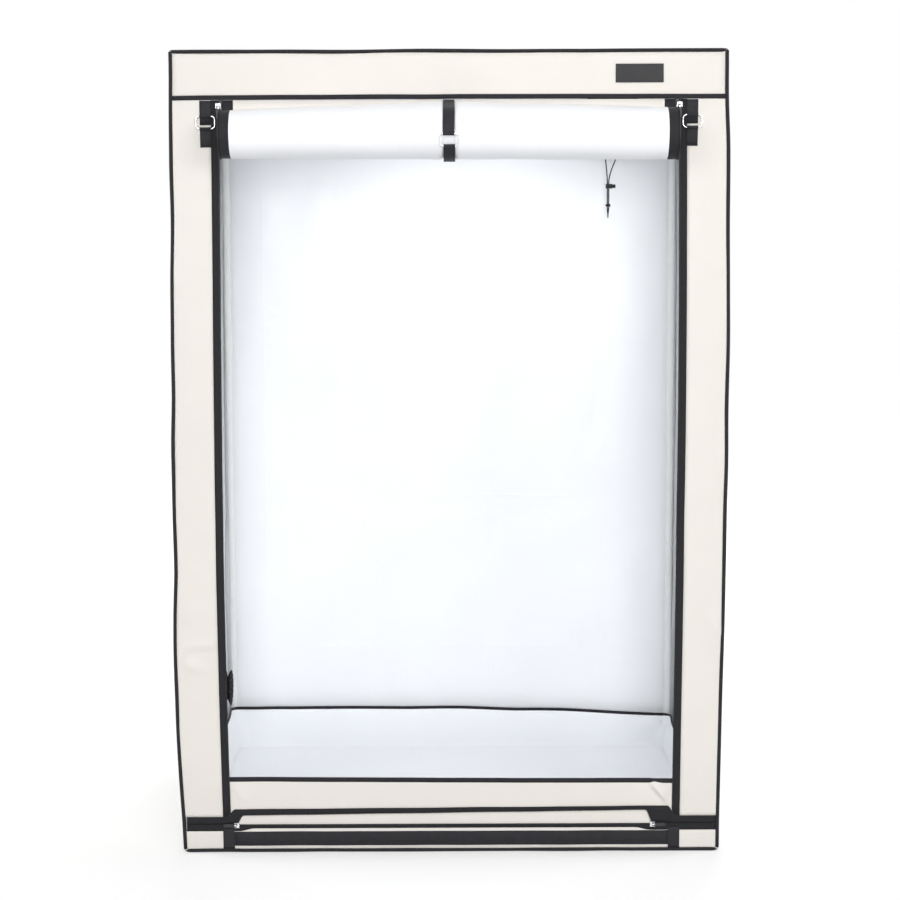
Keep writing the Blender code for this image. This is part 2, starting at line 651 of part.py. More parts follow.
def slider_mesh():
    """A zip slider that travels along Y and faces +Z: a channel over the chain, with a bridge on top."""
    half = SLIDER_WIDTH / 2
    channel = CHAIN_RADIUS + SLIDER_CHANNEL_PLAY
    foot = FABRIC / 2 + GAP
    outline = [Vector(point) for point in (
        (-half, foot), (-channel, foot), (-channel, CHANNEL_TOP), (channel, CHANNEL_TOP), (channel, foot),
        (half, foot), (half, SLIDER_TOP), (-half, SLIDER_TOP))]
    body = evaluated_mesh(scratch_object(outline_curve("slider", [outline], SLIDER_LENGTH)))
    body.transform(Matrix.Rotation(pi / 2, 4, "X"))
    sunk = SLIDER_PLATE / 2
    rise = 2 * PIVOT_RISE + BRIDGE_RADIUS + sunk
    path = [(0, BRIDGE_HALF_SPAN * cos(pi * step / 8), SLIDER_TOP - sunk + rise * sin(pi * step / 8))
            for step in range(9)]
    bridge = evaluated_mesh(scratch_object(wire_curve("bridge", [path], BRIDGE_RADIUS)))
    return union_mesh([body, bridge])


def pull_curve():
    """A flat pull that hangs from the bridge: its top bar lies on zero."""
    bar = PULL_THICKNESS
    middle = Vector((0, bar / 2 - PULL_LENGTH / 2))
    outer = [point + middle for point in rounded_rectangle(PULL_WIDTH, PULL_LENGTH, PULL_CORNER)]
    window = BRIDGE_HALF_SPAN + BRIDGE_RADIUS + 2 * GAP
    half = PULL_WINDOW_WIDTH / 2
    return outline_curve("pull", [outer, rectangle((-half, -bar / 2 - window), (half, -bar / 2))], bar)


def build_sliders():
    """Two sliders on the door zips and two on the base zip, each with a hinged pull."""
    mesh = slider_mesh()
    plane = FRONT + FABRIC / 2
    upright = Matrix.Rotation(pi / 2, 4, "X")
    sliders = (("left_door", (-CHAIN_X, plane, SLIDER_Z), 0), ("right_door", (CHAIN_X, plane, SLIDER_Z), 0),
               ("left_base", (LEFT_BASE_SLIDER_X, plane, BASE_CHAIN_Z), -pi / 2),
               ("right_base", (RIGHT_BASE_SLIDER_X, plane, BASE_CHAIN_Z), pi / 2))
    for name, point, turn in sliders:
        slider = place(name + "_slider", mesh.copy(), chrome, point,
                       (upright @ Matrix.Rotation(turn, 4, "Z")).to_euler())
        pivot = joint_empty(name + "_pull_hinge", (0, 0, PIVOT_OUT), slider)
        place(name + "_pull", pull_curve(), black_plastic, parent=pivot)


# Rolled-up door

def roll_path(outer_radius):
    """The door seen from the side: straight down from the header, then wound forward and inward."""
    rear = ROLL_CENTRE.x + outer_radius
    steps = round(ROLL_TURNS * ROLL_STEPS_PER_TURN)
    path = [Vector((rear, FRONT_TOP)), Vector((rear, (FRONT_TOP + ROLL_CENTRE.y) / 2))]
    for step in range(steps + 1):
        radius = outer_radius - (outer_radius - ROLL_CORE_RADIUS) * step / steps
        angle = -2 * pi * step / ROLL_STEPS_PER_TURN
        path.append(ROLL_CENTRE + radius * Vector((cos(angle), sin(angle))))
    return path


def build_door_roll():
    """The door wound up under the header."""
    outline = strip_outline(roll_path(ROLL_RADIUS - FABRIC / 2), FABRIC)
    place("door_roll", outline_curve("door_roll", [outline], 2 * ROLL_HALF_LENGTH), inner_cloth,
          turn=FACE_SIDE)
    pitch = (ROLL_RADIUS - FABRIC / 2 - ROLL_CORE_RADIUS) / ROLL_TURNS
    gap = pitch * cos(pi / ROLL_STEPS_PER_TURN) - FABRIC
    print(f"least gap between the roll's turns: {gap * 1000:.2f} mm")


# Straps and rings

def around(centre, radius, angle):
    """The point at an angle on a circle."""
    return Vector(centre) + radius * Vector((cos(angle), sin(angle)))


def ring_curve(drop):
    """An oval ring of round wire, lowered so that its top bar can lie on zero."""
    path = [(point.x, point.y - drop, 0)
            for point in rounded_rectangle(RING_WIDTH, RING_HEIGHT, RING_CORNER)]
    return wire_curve("ring", [path], RING_WIRE_RADIUS, closed=True)


def strap_part(name, path, x):
    """A length of webbing along a path seen from the side, centred on a place across the door."""
    return place(name, outline_curve(name, [strip_outline(path, STRAP_THICKNESS)], STRAP_WIDTH), black_cloth,
                 (x, 0, 0), FACE_SIDE)


def build_centre_strap():
    """Strap over the front of the roll to the ring, and from the ring under the roll and up behind it."""
    bar_radius = ROLL_STRAP_RADIUS + LOOP_RADIUS
    half_angle = atan2(RING_HEIGHT / 2, bar_radius)
    upper_bar = pi + RING_BELOW_FRONT - half_angle
    lower_bar = pi + RING_BELOW_FRONT + half_angle
    top = Vector((STRAP_PLANE, STRAP_TOP))
    away = top - ROLL_CENTRE
    touch = atan2(away.y, away.x) + acos(ROLL_STRAP_RADIUS / away.length)
    bar = around(ROLL_CENTRE, bar_radius, upper_bar)
    upper = [top, *arc(ROLL_CENTRE, ROLL_STRAP_RADIUS, touch, upper_bar, 10)]
    upper += arc(bar, LOOP_RADIUS, upper_bar + pi, upper_bar + pi - STRAP_LOOP_TURN, 10)[1:]
    strap_part("centre_strap_upper", upper, 0)
    bar = around(ROLL_CENTRE, bar_radius, lower_bar)
    rear = ROLL_CENTRE.x + ROLL_STRAP_RADIUS
    lower = [Vector((rear, STRAP_TOP)), *arc(ROLL_CENTRE, ROLL_STRAP_RADIUS, 2 * pi, lower_bar, 16)]
    lower += arc(bar, LOOP_RADIUS, lower_bar + pi, lower_bar + pi + STRAP_LOOP_TURN, 10)[1:]
    strap_part("centre_strap_lower", lower, 0)
    middle = around(ROLL_CENTRE, bar_radius * cos(half_angle), pi + RING_BELOW_FRONT)
    place("centre_ring", ring_curve(0), chrome, (0, middle.x, middle.y), (pi / 2 + RING_BELOW_FRONT, 0, 0))


def build_side_straps():
    """Short straps beside the roll, each with a ring that swings on it and a tab hung from the ring."""
    loop = arc((RING_BAR_Y, RING_BAR_Z), LOOP_RADIUS, 0, -STRAP_LOOP_TURN, 10)
    for name, side in (("left", -1), ("right", 1)):
        strap_part(name + "_side_strap", [Vector((STRAP_PLANE, STRAP_TOP)), *loop], side * SIDE_STRAP_X)
        pivot = joint_empty(name + "_ring_hinge", (side * SIDE_STRAP_X, RING_BAR_Y, RING_BAR_Z))
        place(name + "_ring", ring_curve(RING_HEIGHT / 2), chrome, turn=FACE_FRONT, parent=pivot)
        lower_pivot = joint_empty(name + "_tab_hinge", (0, 0, -RING_HEIGHT), pivot)
        tab = [Vector((LOOP_RADIUS, -SIDE_TAB_LENGTH)), *arc((0, 0), LOOP_RADIUS, 0, STRAP_LOOP_TURN, 10)]
        place(name + "_strap_tab", outline_curve("tab", [strip_outline(tab, STRAP_THICKNESS)], STRAP_WIDTH),
              black_cloth, turn=FACE_SIDE, parent=lower_pivot)


# Duct ports and drawcord

def sleeve_mesh(length):
    """A cloth sleeve of a length, drawn in at its end, turned round Z, with its flange on the wall at zero."""
    inner_radius = PORT_RADIUS - FABRIC
    profile = [(0, SLEEVE_TIP_SHARE * length)]
    profile += [(radius * PORT_RADIUS, depth * length)
                for depth, radius in reversed(SLEEVE_OUTER_SHARES)]
    profile += [(PORT_RADIUS, GAP + FABRIC), (PORT_RADIUS + SLEEVE_FLANGE, GAP + FABRIC),
                (PORT_RADIUS + SLEEVE_FLANGE, GAP), (inner_radius, GAP)]
    profile += [(radius * inner_radius, depth * length)
                for depth, radius in reversed(SLEEVE_INNER_SHARES)]
    profile.append((0, SLEEVE_END_SHARE * length))
    return turned_mesh(profile, SLEEVE_STEPS)


def build_ports():
    """Sleeves inside the back and left ports, drawn shut."""
    shade_round(place("back_port_sleeve", sleeve_mesh(BACK_SLEEVE_LENGTH), black_cloth,
                      (BACK_PORT_X, BACK_INSIDE, BACK_PORT_Z), (pi / 2, 0, 0)))
    shade_round(place("left_port_sleeve", sleeve_mesh(LEFT_SLEEVE_LENGTH), black_cloth,
                      (-PLANE_X + FABRIC / 2, LEFT_PORT_Y, LEFT_PORT_Z), (0, pi / 2, 0)))


def at_back_port(place_on_route):
    """A place beside, in front of and below the middle of the back port."""
    across, out, down = place_on_route
    return Vector((BACK_PORT_X + across, BACK_INSIDE - out, BACK_PORT_Z - down))


def build_drawcord():
    """The cord from the back sleeve's neck, and the spring lock that slides on its two strands."""
    path = smooth_route([at_back_port(point) for point in CORD_ROUTE], CORD_STEPS_PER_SPAN)
    middle = at_back_port(LOCK_ON_ROUTE)
    place("drawcord", wire_curve("drawcord", [path], CORD_RADIUS), black_cloth)
    bore = LOCK_RADIUS - LOCK_WALL
    seat = LOCK_LENGTH - LOCK_BORE_DEPTH
    barrel = turned_mesh([(0, 0), (LOCK_RADIUS, 0), (LOCK_RADIUS, LOCK_LENGTH), (bore, LOCK_LENGTH),
                          (bore, seat), (0, seat)], TUBE_STEPS)
    barrel.transform(along_x(-LOCK_SLOT_FROM_END, 0, 0))
    lock = shade_round(place("cord_lock", barrel, black_plastic, middle))
    hole = 2 * (CORD_RADIUS + GAP)
    cutter = scratch_object(box_mesh(Vector((STRANDS_APART + hole, hole, 4 * LOCK_RADIUS))))
    cutter.name = "cord_slot"
    cutter.location = middle
    cutter.hide_render = True
    cutter.display_type = "WIRE"
    slot = lock.modifiers.new("Cord slot", "BOOLEAN")
    slot.operation = "DIFFERENCE"
    slot.object = cutter
    button_radius = bore - BUTTON_CLEARANCE
    button = turned_mesh([(0, 0), (button_radius, 0), (button_radius, BUTTON_LENGTH), (0, BUTTON_LENGTH)],
                         TUBE_STEPS)
    button.transform(along_x(LOCK_LENGTH - LOCK_SLOT_FROM_END - BUTTON_DEPTH, 0, 0))
    shade_round(place("cord_lock_button", button, black_plastic, middle))


# Tray

def build_tray():
    """A shallow lift-out tray on the floor, wider above the frame's rails, with a hem round its rim."""
    shape = bmesh.new()
    size = (2 * TRAY_HALF_X, 2 * TRAY_HALF_Y, TRAY_HEIGHT - TRAY_LOW)
    middle = (TRAY_LOW + TRAY_HEIGHT) / 2
    bmesh.ops.create_cube(shape, size=1, matrix=Matrix.Diagonal((*size, 1)))
    bmesh.ops.bisect_plane(shape, geom=[*shape.verts, *shape.edges, *shape.faces], dist=WELD_DISTANCE,
                           plane_co=(0, 0, TRAY_BEND - middle), plane_no=(0, 0, 1))
    lid = [face for face in shape.faces if face.normal.z > 0.5]
    bmesh.ops.delete(shape, geom=lid, context="FACES_ONLY")
    mesh = bpy.data.meshes.new("spill_tray")
    shape.to_mesh(mesh)
    shape.free()
    helper = scratch_object(mesh)
    wall = helper.modifiers.new("Wall", "SOLIDIFY")
    wall.thickness = TRAY_FABRIC
    wall.offset = -1
    wall.use_even_offset = True
    walls = evaluated_mesh(helper)
    overlap = TRAY_HEM_OVERLAP
    low_x, low_y = TRAY_HALF_X - TRAY_FABRIC / 2, TRAY_HALF_Y - TRAY_FABRIC / 2
    high_x, high_y = TRAY_HALF_X + overlap, TRAY_HALF_Y + overlap
    rim = [rectangle((-high_x, -high_y), (high_x, high_y)), rectangle((-low_x, -low_y), (low_x, low_y))]
    hem = evaluated_mesh(scratch_object(outline_curve("hem", rim, TRAY_HEM_HEIGHT)))
    hem.transform(Matrix.Translation((0, 0, TRAY_HEIGHT - overlap - TRAY_HEM_HEIGHT / 2 - middle)))
    tray = union_mesh([walls, hem])
    for vert in tray.vertices:
        rise = max(0, vert.co.z + middle - TRAY_BEND) / (TRAY_HEIGHT - TRAY_BEND)
        vert.co.x *= 1 + rise * TRAY_FLARE / TRAY_HALF_X
    place("spill_tray", tray, inner_cloth, (0, 0, middle))


def main():
    for old in list(bpy.data.objects):
        bpy.data.objects.remove(old)
    for collection in (PARTS, CUTTERS):
        bpy.context.scene.collection.children.link(collection)
    build_frame()
    build_hanging_bars()
    build_panels()
    build_binding()
    build_sill()
    build_zip_tapes()
    build_sliders()
    build_door_roll()
    build_centre_strap()
    build_side_straps()
    build_ports()
    build_drawcord()
    build_tray()


main()
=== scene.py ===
# Indoor grow tent, dressed: coated cloth panels, black bindings, zips, straps, a rolled-up door and a tray.
# Metres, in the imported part's own frame. X is the width, the door faces -Y, and Z points up from the floor.

import logging
from collections.abc import Callable, Iterable, Sequence
from dataclasses import dataclass
from enum import Enum
from math import acos, atan2, cos, exp, pi, radians, sin

import bmesh
import bpy
from mathutils import Matrix, Vector, noise


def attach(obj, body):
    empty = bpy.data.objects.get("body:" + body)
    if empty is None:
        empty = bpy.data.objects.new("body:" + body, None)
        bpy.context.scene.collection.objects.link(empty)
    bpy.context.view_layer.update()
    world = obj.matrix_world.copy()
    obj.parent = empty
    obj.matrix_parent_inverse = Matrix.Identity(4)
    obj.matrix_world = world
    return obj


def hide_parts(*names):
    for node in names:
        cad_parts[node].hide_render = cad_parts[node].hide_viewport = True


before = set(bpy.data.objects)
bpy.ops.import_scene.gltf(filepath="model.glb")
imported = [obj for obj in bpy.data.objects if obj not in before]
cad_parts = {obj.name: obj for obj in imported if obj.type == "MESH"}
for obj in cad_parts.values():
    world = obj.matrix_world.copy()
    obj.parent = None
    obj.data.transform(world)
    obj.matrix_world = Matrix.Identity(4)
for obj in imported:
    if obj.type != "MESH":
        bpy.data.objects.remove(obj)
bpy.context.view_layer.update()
LOG = logging.getLogger("grow_tent")

# Sizes that several sub-assemblies share
HALF_WIDTH = 0.6025
HALF_DEPTH = 0.4525
HEIGHT = 1.785
FRONT = -HALF_DEPTH
CLOTH = 0.0012
PLANE_X = 0.60175
PLANE_Y = 0.45175
PIPING_RADIUS = 0.0043
HEADER_LOW = 1.691
FRONT_TOP = 1.6804
DOORWAY_HALF = 0.4985
COLUMN_INNER = 0.5163
COLUMN_LOW = 0.0833
CHAIN_X = 0.500
CHAIN_Y = -0.4531
BASE_CHAIN_Z = 0.063
SILL_TOP = 0.169
RING_TUBE = 0.0016
TOOTH = (0.0036, 0.0017, 0.0012)
TOOTH_BEVEL = 0.0004
STRAP_WIDTH = 0.0248
STRAP_THICKNESS = 0.0015
SILL_HEM_DROP = 0.0055
ROLL_MIDDLE = (-0.5060, 1.6077)
BACK_PORT = (0.430, 0.451, 1.675)
LEFT_PORT = (-0.601, 0, 0.272)
SIDE_BOW = 0.0095
LEFT_ZIP_SWAY = 0.0056
RIGHT_ZIP_SWAY = 0.0046
BODY = "tent"
CLOTH_MAP = "cloth"
ACROSS = Vector((1, 0, 0))
UPWARD = Vector((0, 0, 1))
FORWARD = Vector((0, -1, 0))

# Short names for the types of values that are handed on
Point = tuple[float, float]
Circle = tuple[float, float, float]
Lift = Callable[[float, float], float]
Shift = Callable[[float, float], Point]
Shape = bmesh.types.BMesh
Piece = bpy.types.Object
Socket = bpy.types.NodeSocket


def colour(red: float, green: float, blue: float) -> tuple[float, float, float, float]:
    """A linear colour from screen values of 0 to 255.

    Args:
        red, green, blue: the screen values.

    Returns:
        Linear red, green and blue, and an alpha of 1.
    """
    parts = [value / 255 for value in (red, green, blue)]
    linear = [part / 12.92 if part < 0.04045 else ((part + 0.055) / 1.055) ** 2.4 for part in parts]
    return (*linear, 1.0)


def ease(value: float) -> float:
    """A smooth step from 0 to 1."""
    value = min(max(value, 0.0), 1.0)
    return value * value * (3 - 2 * value)


def swell(x: float, y: float, z: float, size: float, seed: float = 0.0) -> float:
    """Smooth noise between about -1 and 1, with swells of a size in metres."""
    return noise.noise(Vector((x / size + seed, y / size - seed, z / size + 2 * seed)))


# Finishes

class Slot(Enum):
    """Material slot names, one carried by each finish; nothing in this script reads them."""

    OUTER = "white_outer_cloth"
    INNER = "white_inner_cloth"
    BLACK = "black_webbing"
    METAL = "bright_metal"


class Follow(Enum):
    """What a finish's pattern follows."""

    SURFACE = "the piece's own map, in metres"
    SPACE = "the object's own axes"


class Nodes:
    """A tree of shader nodes, with short ways to add and join them."""

    def __init__(self, tree: bpy.types.NodeTree) -> None:
        """Work on a tree."""
        self.tree = tree

    def add(self, kind: str, feeds: dict | None = None, **settings: object) -> bpy.types.Node:
        """Add a node.

        Args:
            kind: the node's type, without its first words.
            feeds: what goes to its inputs, by name or number: a socket or a value.
            settings: its other settings.

        Returns:
            The node.
        """
        node = self.tree.nodes.new("ShaderNode" + kind)
        for key, value in settings.items():
            setattr(node, key, value)
        for key, value in (feeds or {}).items():
            self.feed(node.inputs[key], value)
        return node

    def feed(self, socket: Socket, value: object) -> None:
        """Join an output to a socket, or set the socket's value.

        Args:
            socket: the input.
            value: the output, or the value.
        """
        if isinstance(value, Socket):
            self.tree.links.new(value, socket)
        else:
            socket.default_value = value

    def sum(self, operation: str, *values: object) -> Socket:
        """A sum of one to three values."""
        return self.add("Math", dict(enumerate(values)), operation=operation).outputs[0]

    def seen(self) -> Socket:
        """A switch for what looks white but lights nothing.

        Returns:
            1 to the camera and in reflections and glass, and 0 elsewhere.
        """
        path = self.add("LightPath").outputs
        return self.sum("MAXIMUM", path["Is Camera Ray"], self.sum(
            "MAXIMUM", path["Is Glossy Ray"], path["Is Transmission Ray"]))


class Recipe(Nodes):
    """The nodes of one material."""

    def __init__(self, name: str, follow: Follow) -> None:
        """Start from a Principled shader and a place to read the pattern from.

        Args:
            name: the material's name.
            follow: what its pattern follows.
        """
        self.material = bpy.data.materials.new(name)
        self.material.use_nodes = True
        super().__init__(self.material.node_tree)
        self.shader = next(node for node in self.tree.nodes if node.type == "BSDF_PRINCIPLED")
        if follow is Follow.SURFACE:
            self.where = self.add("UVMap", uv_map=CLOTH_MAP).outputs["UV"]
        else:
            self.where = self.add("TexCoord").outputs["Object"]

    def noise(self, scale: float, detail: float, stretch: Sequence[float] | None = None) -> Socket:
        """Cloudy noise.

        Args:
            scale: how many swells a metre has.
            detail: how many finer layers it has.
            stretch: how much closer its swells are along each axis.

        Returns:
            The noise, from 0 to 1.
        """
        where = self.where
        if stretch:
            where = self.add("Mapping", {"Vector": where, "Scale": stretch}).outputs[0]
        feeds = {"Vector": where, "Scale": scale, "Detail": detail}
        return self.add("TexNoise", feeds).outputs[0]

    def bands(self, direction: str, pitch: float, distortion: float = 0) -> Socket:
        """Even waves across an axis, one to each pitch."""
        feeds = {"Vector": self.where, "Scale": 2 * pi / 20 / pitch, "Distortion": distortion}
        return self.add("TexWave", feeds, bands_direction=direction).outputs["Fac"]

    def weave(self, pitch: float) -> Socket:
        """Threads that pass over and under each other.

        Args:
            pitch: their spacing in metres.

        Returns:
            The weave's height, from 0 to 1.
        """
        cells = self.add("TexChecker", {"Vector": self.where, "Scale": 1 / pitch}).outputs["Fac"]
        blend = {0: cells, 2: self.bands("X", pitch), 3: self.bands("Y", pitch)}
        return self.add("Mix", blend, data_type="FLOAT").outputs[0]

    def spread(self, value: Socket, low: float, high: float) -> Socket:
        """A value of 0 to 1, brought between two others."""
        return self.add("MapRange", {0: value, 1: 0.25, 2: 0.75, 3: low, 4: high}).outputs[0]

    def tint(self, base: tuple, value: Socket, low: float, high: float) -> Socket:
        """A colour whose level varies with a value.

        Args:
            base: the colour.
            value: what the level follows, 0 to 1.
            low, high: the level at the value's two ends.

        Returns:
            The varied colour.
        """
        level = self.spread(value, low, high)
        feeds = {"Hue": 0.5, "Saturation": 1.0, "Value": level, "Fac": 1.0, "Color": base}
        return self.add("HueSaturation", feeds).outputs[0]

    def dress(self, **inputs: object) -> None:
        """Feed the shader's inputs, with a low line for a space in a name."""
        for key, value in inputs.items():
            self.feed(self.shader.inputs[key.replace("_", " ")], value)

    def relief(self, *layers: tuple) -> None:
        """Give the surface its relief.

        Args:
            layers: for each layer its height of 0 to 1 and its depth in metres, the broadest first.
        """
        before = None
        for height, depth in layers:
            feeds = {"Height": height, "Distance": depth, "Strength": 1.0}
            if before:
                feeds["Normal"] = before
            before = self.add("Bump", feeds).outputs[0]
        self.feed(self.shader.inputs["Normal"], before)


@dataclass(frozen=True)
class CoatedCloth:
    """Woven cloth with a coating: the tent's off-white outside or its white inside."""

    name: str
    shade: tuple
    roughness: float
    weave_pitch: float
    weave_depth: float
    wrinkle_depth: float
    crease_spacing: float
    slot: Slot
    sheen: float = 0.0
    coat: float = 0.0

    def material(self) -> bpy.types.Material:
        """Weave, soft wrinkles, packing creases and a little unevenness of colour.

        Returns:
            The material.
        """
        recipe = Recipe(self.name, Follow.SURFACE)
        cloud = recipe.noise(5, 4)
        thread = recipe.noise(900, 2, (1, 0.25, 1))
        mottled = recipe.sum("MULTIPLY_ADD", thread, 0.3, recipe.sum("MULTIPLY", cloud, 0.7))
        weave = recipe.weave(self.weave_pitch)
        axes = recipe.add("SeparateXYZ", {0: recipe.where}).outputs
        folds = []
        for axis, share in ((0, 1.0), (1, 1.37)):
            spacing = self.crease_spacing * share
            bent = recipe.sum("MULTIPLY_ADD", cloud, 0.006, axes[axis])
            off = recipe.sum("PINGPONG", recipe.sum("ADD", bent, spacing / 3), spacing / 2)
            folds.append(recipe.add("MapRange", {0: off, 1: 0.0, 2: 0.005, 3: 1.0, 4: 0.0},
                                    interpolation_type="SMOOTHSTEP").outputs[0])
        crease = recipe.sum("MAXIMUM", *folds)
        wrinkle = recipe.add("TexNoise", {"Vector": recipe.where, "Scale": 9, "Detail": 2,
                                          "Distortion": 0.8}).outputs[0]
        recipe.dress(Base_Color=recipe.tint(self.shade, mottled, 0.965, 1.02),
                     Roughness=recipe.spread(cloud, self.roughness - 0.05, self.roughness + 0.05),
                     Specular_IOR_Level=0.4, Sheen_Weight=self.sheen, Sheen_Roughness=0.5,
                     Coat_Weight=self.coat, Coat_Roughness=0.3)
        recipe.relief((wrinkle, self.wrinkle_depth), (crease, self.wrinkle_depth / 12),
                      (weave, self.weave_depth))
        return recipe.material


@dataclass(frozen=True)
class Webbing:
    """Black woven tape: straps, bindings, hems and zip tapes."""

    name: str
    shade: tuple
    rib_pitch: float
    rib_depth: float
    roughness: float = 0.62
    stitch_from_edge: float = 0.0
    width: float = STRAP_WIDTH
    slot: Slot = Slot.BLACK

    def material(self) -> bpy.types.Material:
        """Ribs with a twill across them, a little fluff, and a stitched line near each edge if it has one.

        Returns:
            The material.
        """
        recipe = Recipe(self.name, Follow.SURFACE)
        ribs = recipe.bands("X", self.rib_pitch, 0.4)
        twill = recipe.bands("DIAGONAL", self.rib_pitch * 0.8, 0.2)
        fluff = recipe.noise(700, 3)
        worn = recipe.noise(35, 4)
        uneven = recipe.sum("MULTIPLY_ADD", fluff, 0.4, recipe.sum("MULTIPLY", worn, 0.6))
        layers = [(recipe.sum("MULTIPLY_ADD", twill, 0.5, recipe.sum("MULTIPLY", ribs, 0.5)), self.rib_depth),
                  (fluff, 0.0002)]
        if self.stitch_from_edge:
            axes = recipe.add("SeparateXYZ", {0: recipe.where}).outputs
            off = recipe.sum("ABSOLUTE", recipe.sum("SUBTRACT", recipe.sum("ABSOLUTE", axes[1]),
                                                    self.width / 2 - self.stitch_from_edge))
            line = recipe.sum("LESS_THAN", off, 0.0005)
            dash = recipe.sum("GREATER_THAN", recipe.sum("PINGPONG", axes[0], 0.0016), 0.0005)
            layers.append((recipe.sum("MULTIPLY", line, dash), 0.0004))
        recipe.dress(Base_Color=recipe.tint(self.shade, uneven, 0.75, 1.3),
                     Roughness=recipe.spread(worn, self.roughness - 0.08, self.roughness + 0.08),
                     Specular_IOR_Level=0.18, Sheen_Weight=0.05, Sheen_Roughness=0.4)
        recipe.relief(*layers)
        return recipe.material


@dataclass(frozen=True)
class Metal:
    """Bright plated metal: zip sliders and rings."""

    name: str
    shade: tuple
    roughness: float
    slot: Slot = Slot.METAL

    def material(self) -> bpy.types.Material:
        """Plating with fine scratches and slightly duller places.

        Returns:
            The material.
        """
        recipe = Recipe(self.name, Follow.SPACE)
        scratches = recipe.noise(1500, 4, (1, 12, 1))
        dull = recipe.noise(160, 3)
        recipe.dress(Base_Color=recipe.tint(self.shade, dull, 0.92, 1.03), Metallic=1.0,
                     Roughness=recipe.spread(scratches, self.roughness * 0.6, self.roughness * 1.5))
        recipe.relief((scratches, 0.00003))
        return recipe.material


@dataclass(frozen=True)
class Hard:
    """A painted or moulded surface: the frame's white coating, or black plastic."""

    name: str
    shade: tuple
    roughness: float
    grain: float
    grain_depth: float
    coat: float = 0.0
    slot: Slot = Slot.BLACK

    def material(self) -> bpy.types.Material:
        """A fine grain, faint rubbed patches, and a clear coat if it has one.

        Returns:
            The material.
        """
        recipe = Recipe(self.name, Follow.SPACE)
        grain = recipe.noise(self.grain, 2)
        rubbed = recipe.noise(14, 5, (1, 1, 0.4))
        recipe.dress(Base_Color=recipe.tint(self.shade, rubbed, 0.95, 1.03),
                     Roughness=recipe.spread(rubbed, self.roughness - 0.06, self.roughness + 0.08),
                     Coat_Weight=self.coat, Coat_Roughness=0.2)
        recipe.relief((grain, self.grain_depth))
        return recipe.material


Finish = CoatedCloth | Webbing | Metal | Hard

OUTSIDE = CoatedCloth("off_white_oxford", colour(240, 235, 229), roughness=0.62, weave_pitch=0.0010,
                      weave_depth=0.00012, wrinkle_depth=0.0012, crease_spacing=0.41, slot=Slot.OUTER,
                      sheen=0.08)
INSIDE = CoatedCloth("white_coated_cloth", colour(250, 252, 255), roughness=0.34, weave_pitch=0.0013,
                     weave_depth=0.00003, wrinkle_depth=0.0022, crease_spacing=0.30, slot=Slot.INNER,
                     sheen=0.35, coat=0.25)
PATCH = CoatedCloth("bare_black_patch", colour(24, 24, 27), roughness=0.45, weave_pitch=0.0006,
                    weave_depth=0.00008, wrinkle_depth=0.0002, crease_spacing=0.5, slot=Slot.BLACK)
BINDING = Webbing("black_binding", colour(38, 37, 41), rib_pitch=0.0011, rib_depth=0.00025)
STRAPPING = Webbing("black_strapping", colour(40, 40, 44), rib_pitch=0.0016, rib_depth=0.0003, roughness=0.5,
                    stitch_from_edge=0.0025)
TAPE = Webbing("zip_tape", colour(38, 38, 41), rib_pitch=0.0008, rib_depth=0.0002, roughness=0.7)
SLEEVING = Webbing("black_sleeve_cloth", colour(38, 38, 42), rib_pitch=0.0007, rib_depth=0.0002,
                   roughness=0.6)
CORDAGE = Webbing("braided_cord", colour(34, 34, 38), rib_pitch=0.0018, rib_depth=0.0004, roughness=0.65)
TEETH = Hard("zip_teeth", colour(34, 34, 36), roughness=0.35, grain=900, grain_depth=0.00002)
PLASTIC = Hard("black_moulded_plastic", colour(30, 30, 32), roughness=0.4, grain=1200, grain_depth=0.00003)
POWDER_COAT = Hard("white_powder_coat", colour(240, 241, 240), roughness=0.38, grain=420, grain_depth=0.00004,
                   coat=0.3)
CHROME = Metal("bright_plating", (0.80, 0.81, 0.83, 1), roughness=0.16)


class Wardrobe:
    """The materials, each made once."""

    def __init__(self) -> None:
        """Start empty."""
        self.made: dict[str, bpy.types.Material] = {}

    def of(self, finish: Finish) -> bpy.types.Material:
        """The material of a finish.

        Args:
            finish: the finish.

        Returns:
            Its material, made when it is first asked for.
        """
        if finish.name not in self.made:
            self.made[finish.name] = finish.material()
        return self.made[finish.name]


WARDROBE = Wardrobe()


# Shapes

def finished(name: str, shape: Shape, body: str, *finishes: Finish, node: str | None = None,
             smooth: bool = True) -> Piece:
    """Turn a bmesh into a piece that rides on a body.

    Args:
        name: the piece's name.
        shape: its bmesh, which is freed.
        body: the body's name.
        finishes: the finishes of its material slots, in order.
        node: the CAD node that it stands for.
        smooth: whether its faces are shaded smooth.

    Returns:
        The piece.
    """
    mesh = bpy.data.meshes.new(name)
    shape.to_mesh(mesh)
    shape.free()
    for finish in finishes:
        mesh.materials.append(WARDROBE.of(finish))
    if smooth:
        mesh.shade_smooth()
    piece = bpy.data.objects.new(name, mesh)
    bpy.context.scene.collection.objects.link(piece)
    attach(piece, body)
    if node:
        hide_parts(node)
    LOG.info("%s: %d faces on %s", name, len(mesh.polygons), body)
    return piece


def thicken(piece: Piece, thickness: float, offset: float = -1, inner_slot: int = 0) -> Piece:
    """Give a sheet its thickness.

    Args:
        piece: the sheet.
        thickness: how thick it becomes.
        offset: -1 adds it behind the faces, 0 on both sides.
        inner_slot: how many slots further the inner side's finish is.

    Returns:
        The same piece.
    """
    wall = piece.modifiers.new("Cloth thickness", "SOLIDIFY")
    wall.thickness = thickness
    wall.offset = offset
    wall.material_offset = inner_slot
    return piece


def map_flat(shape: Shape) -> None:
    """Map a bmesh as it lies flat, in metres.

    Args:
        shape: the bmesh, flat in X and Y.
    """
    cloth = shape.loops.layers.uv.verify()
    for face in shape.faces:
        for loop in face.loops:
            loop[cloth].uv = loop.vert.co.xy


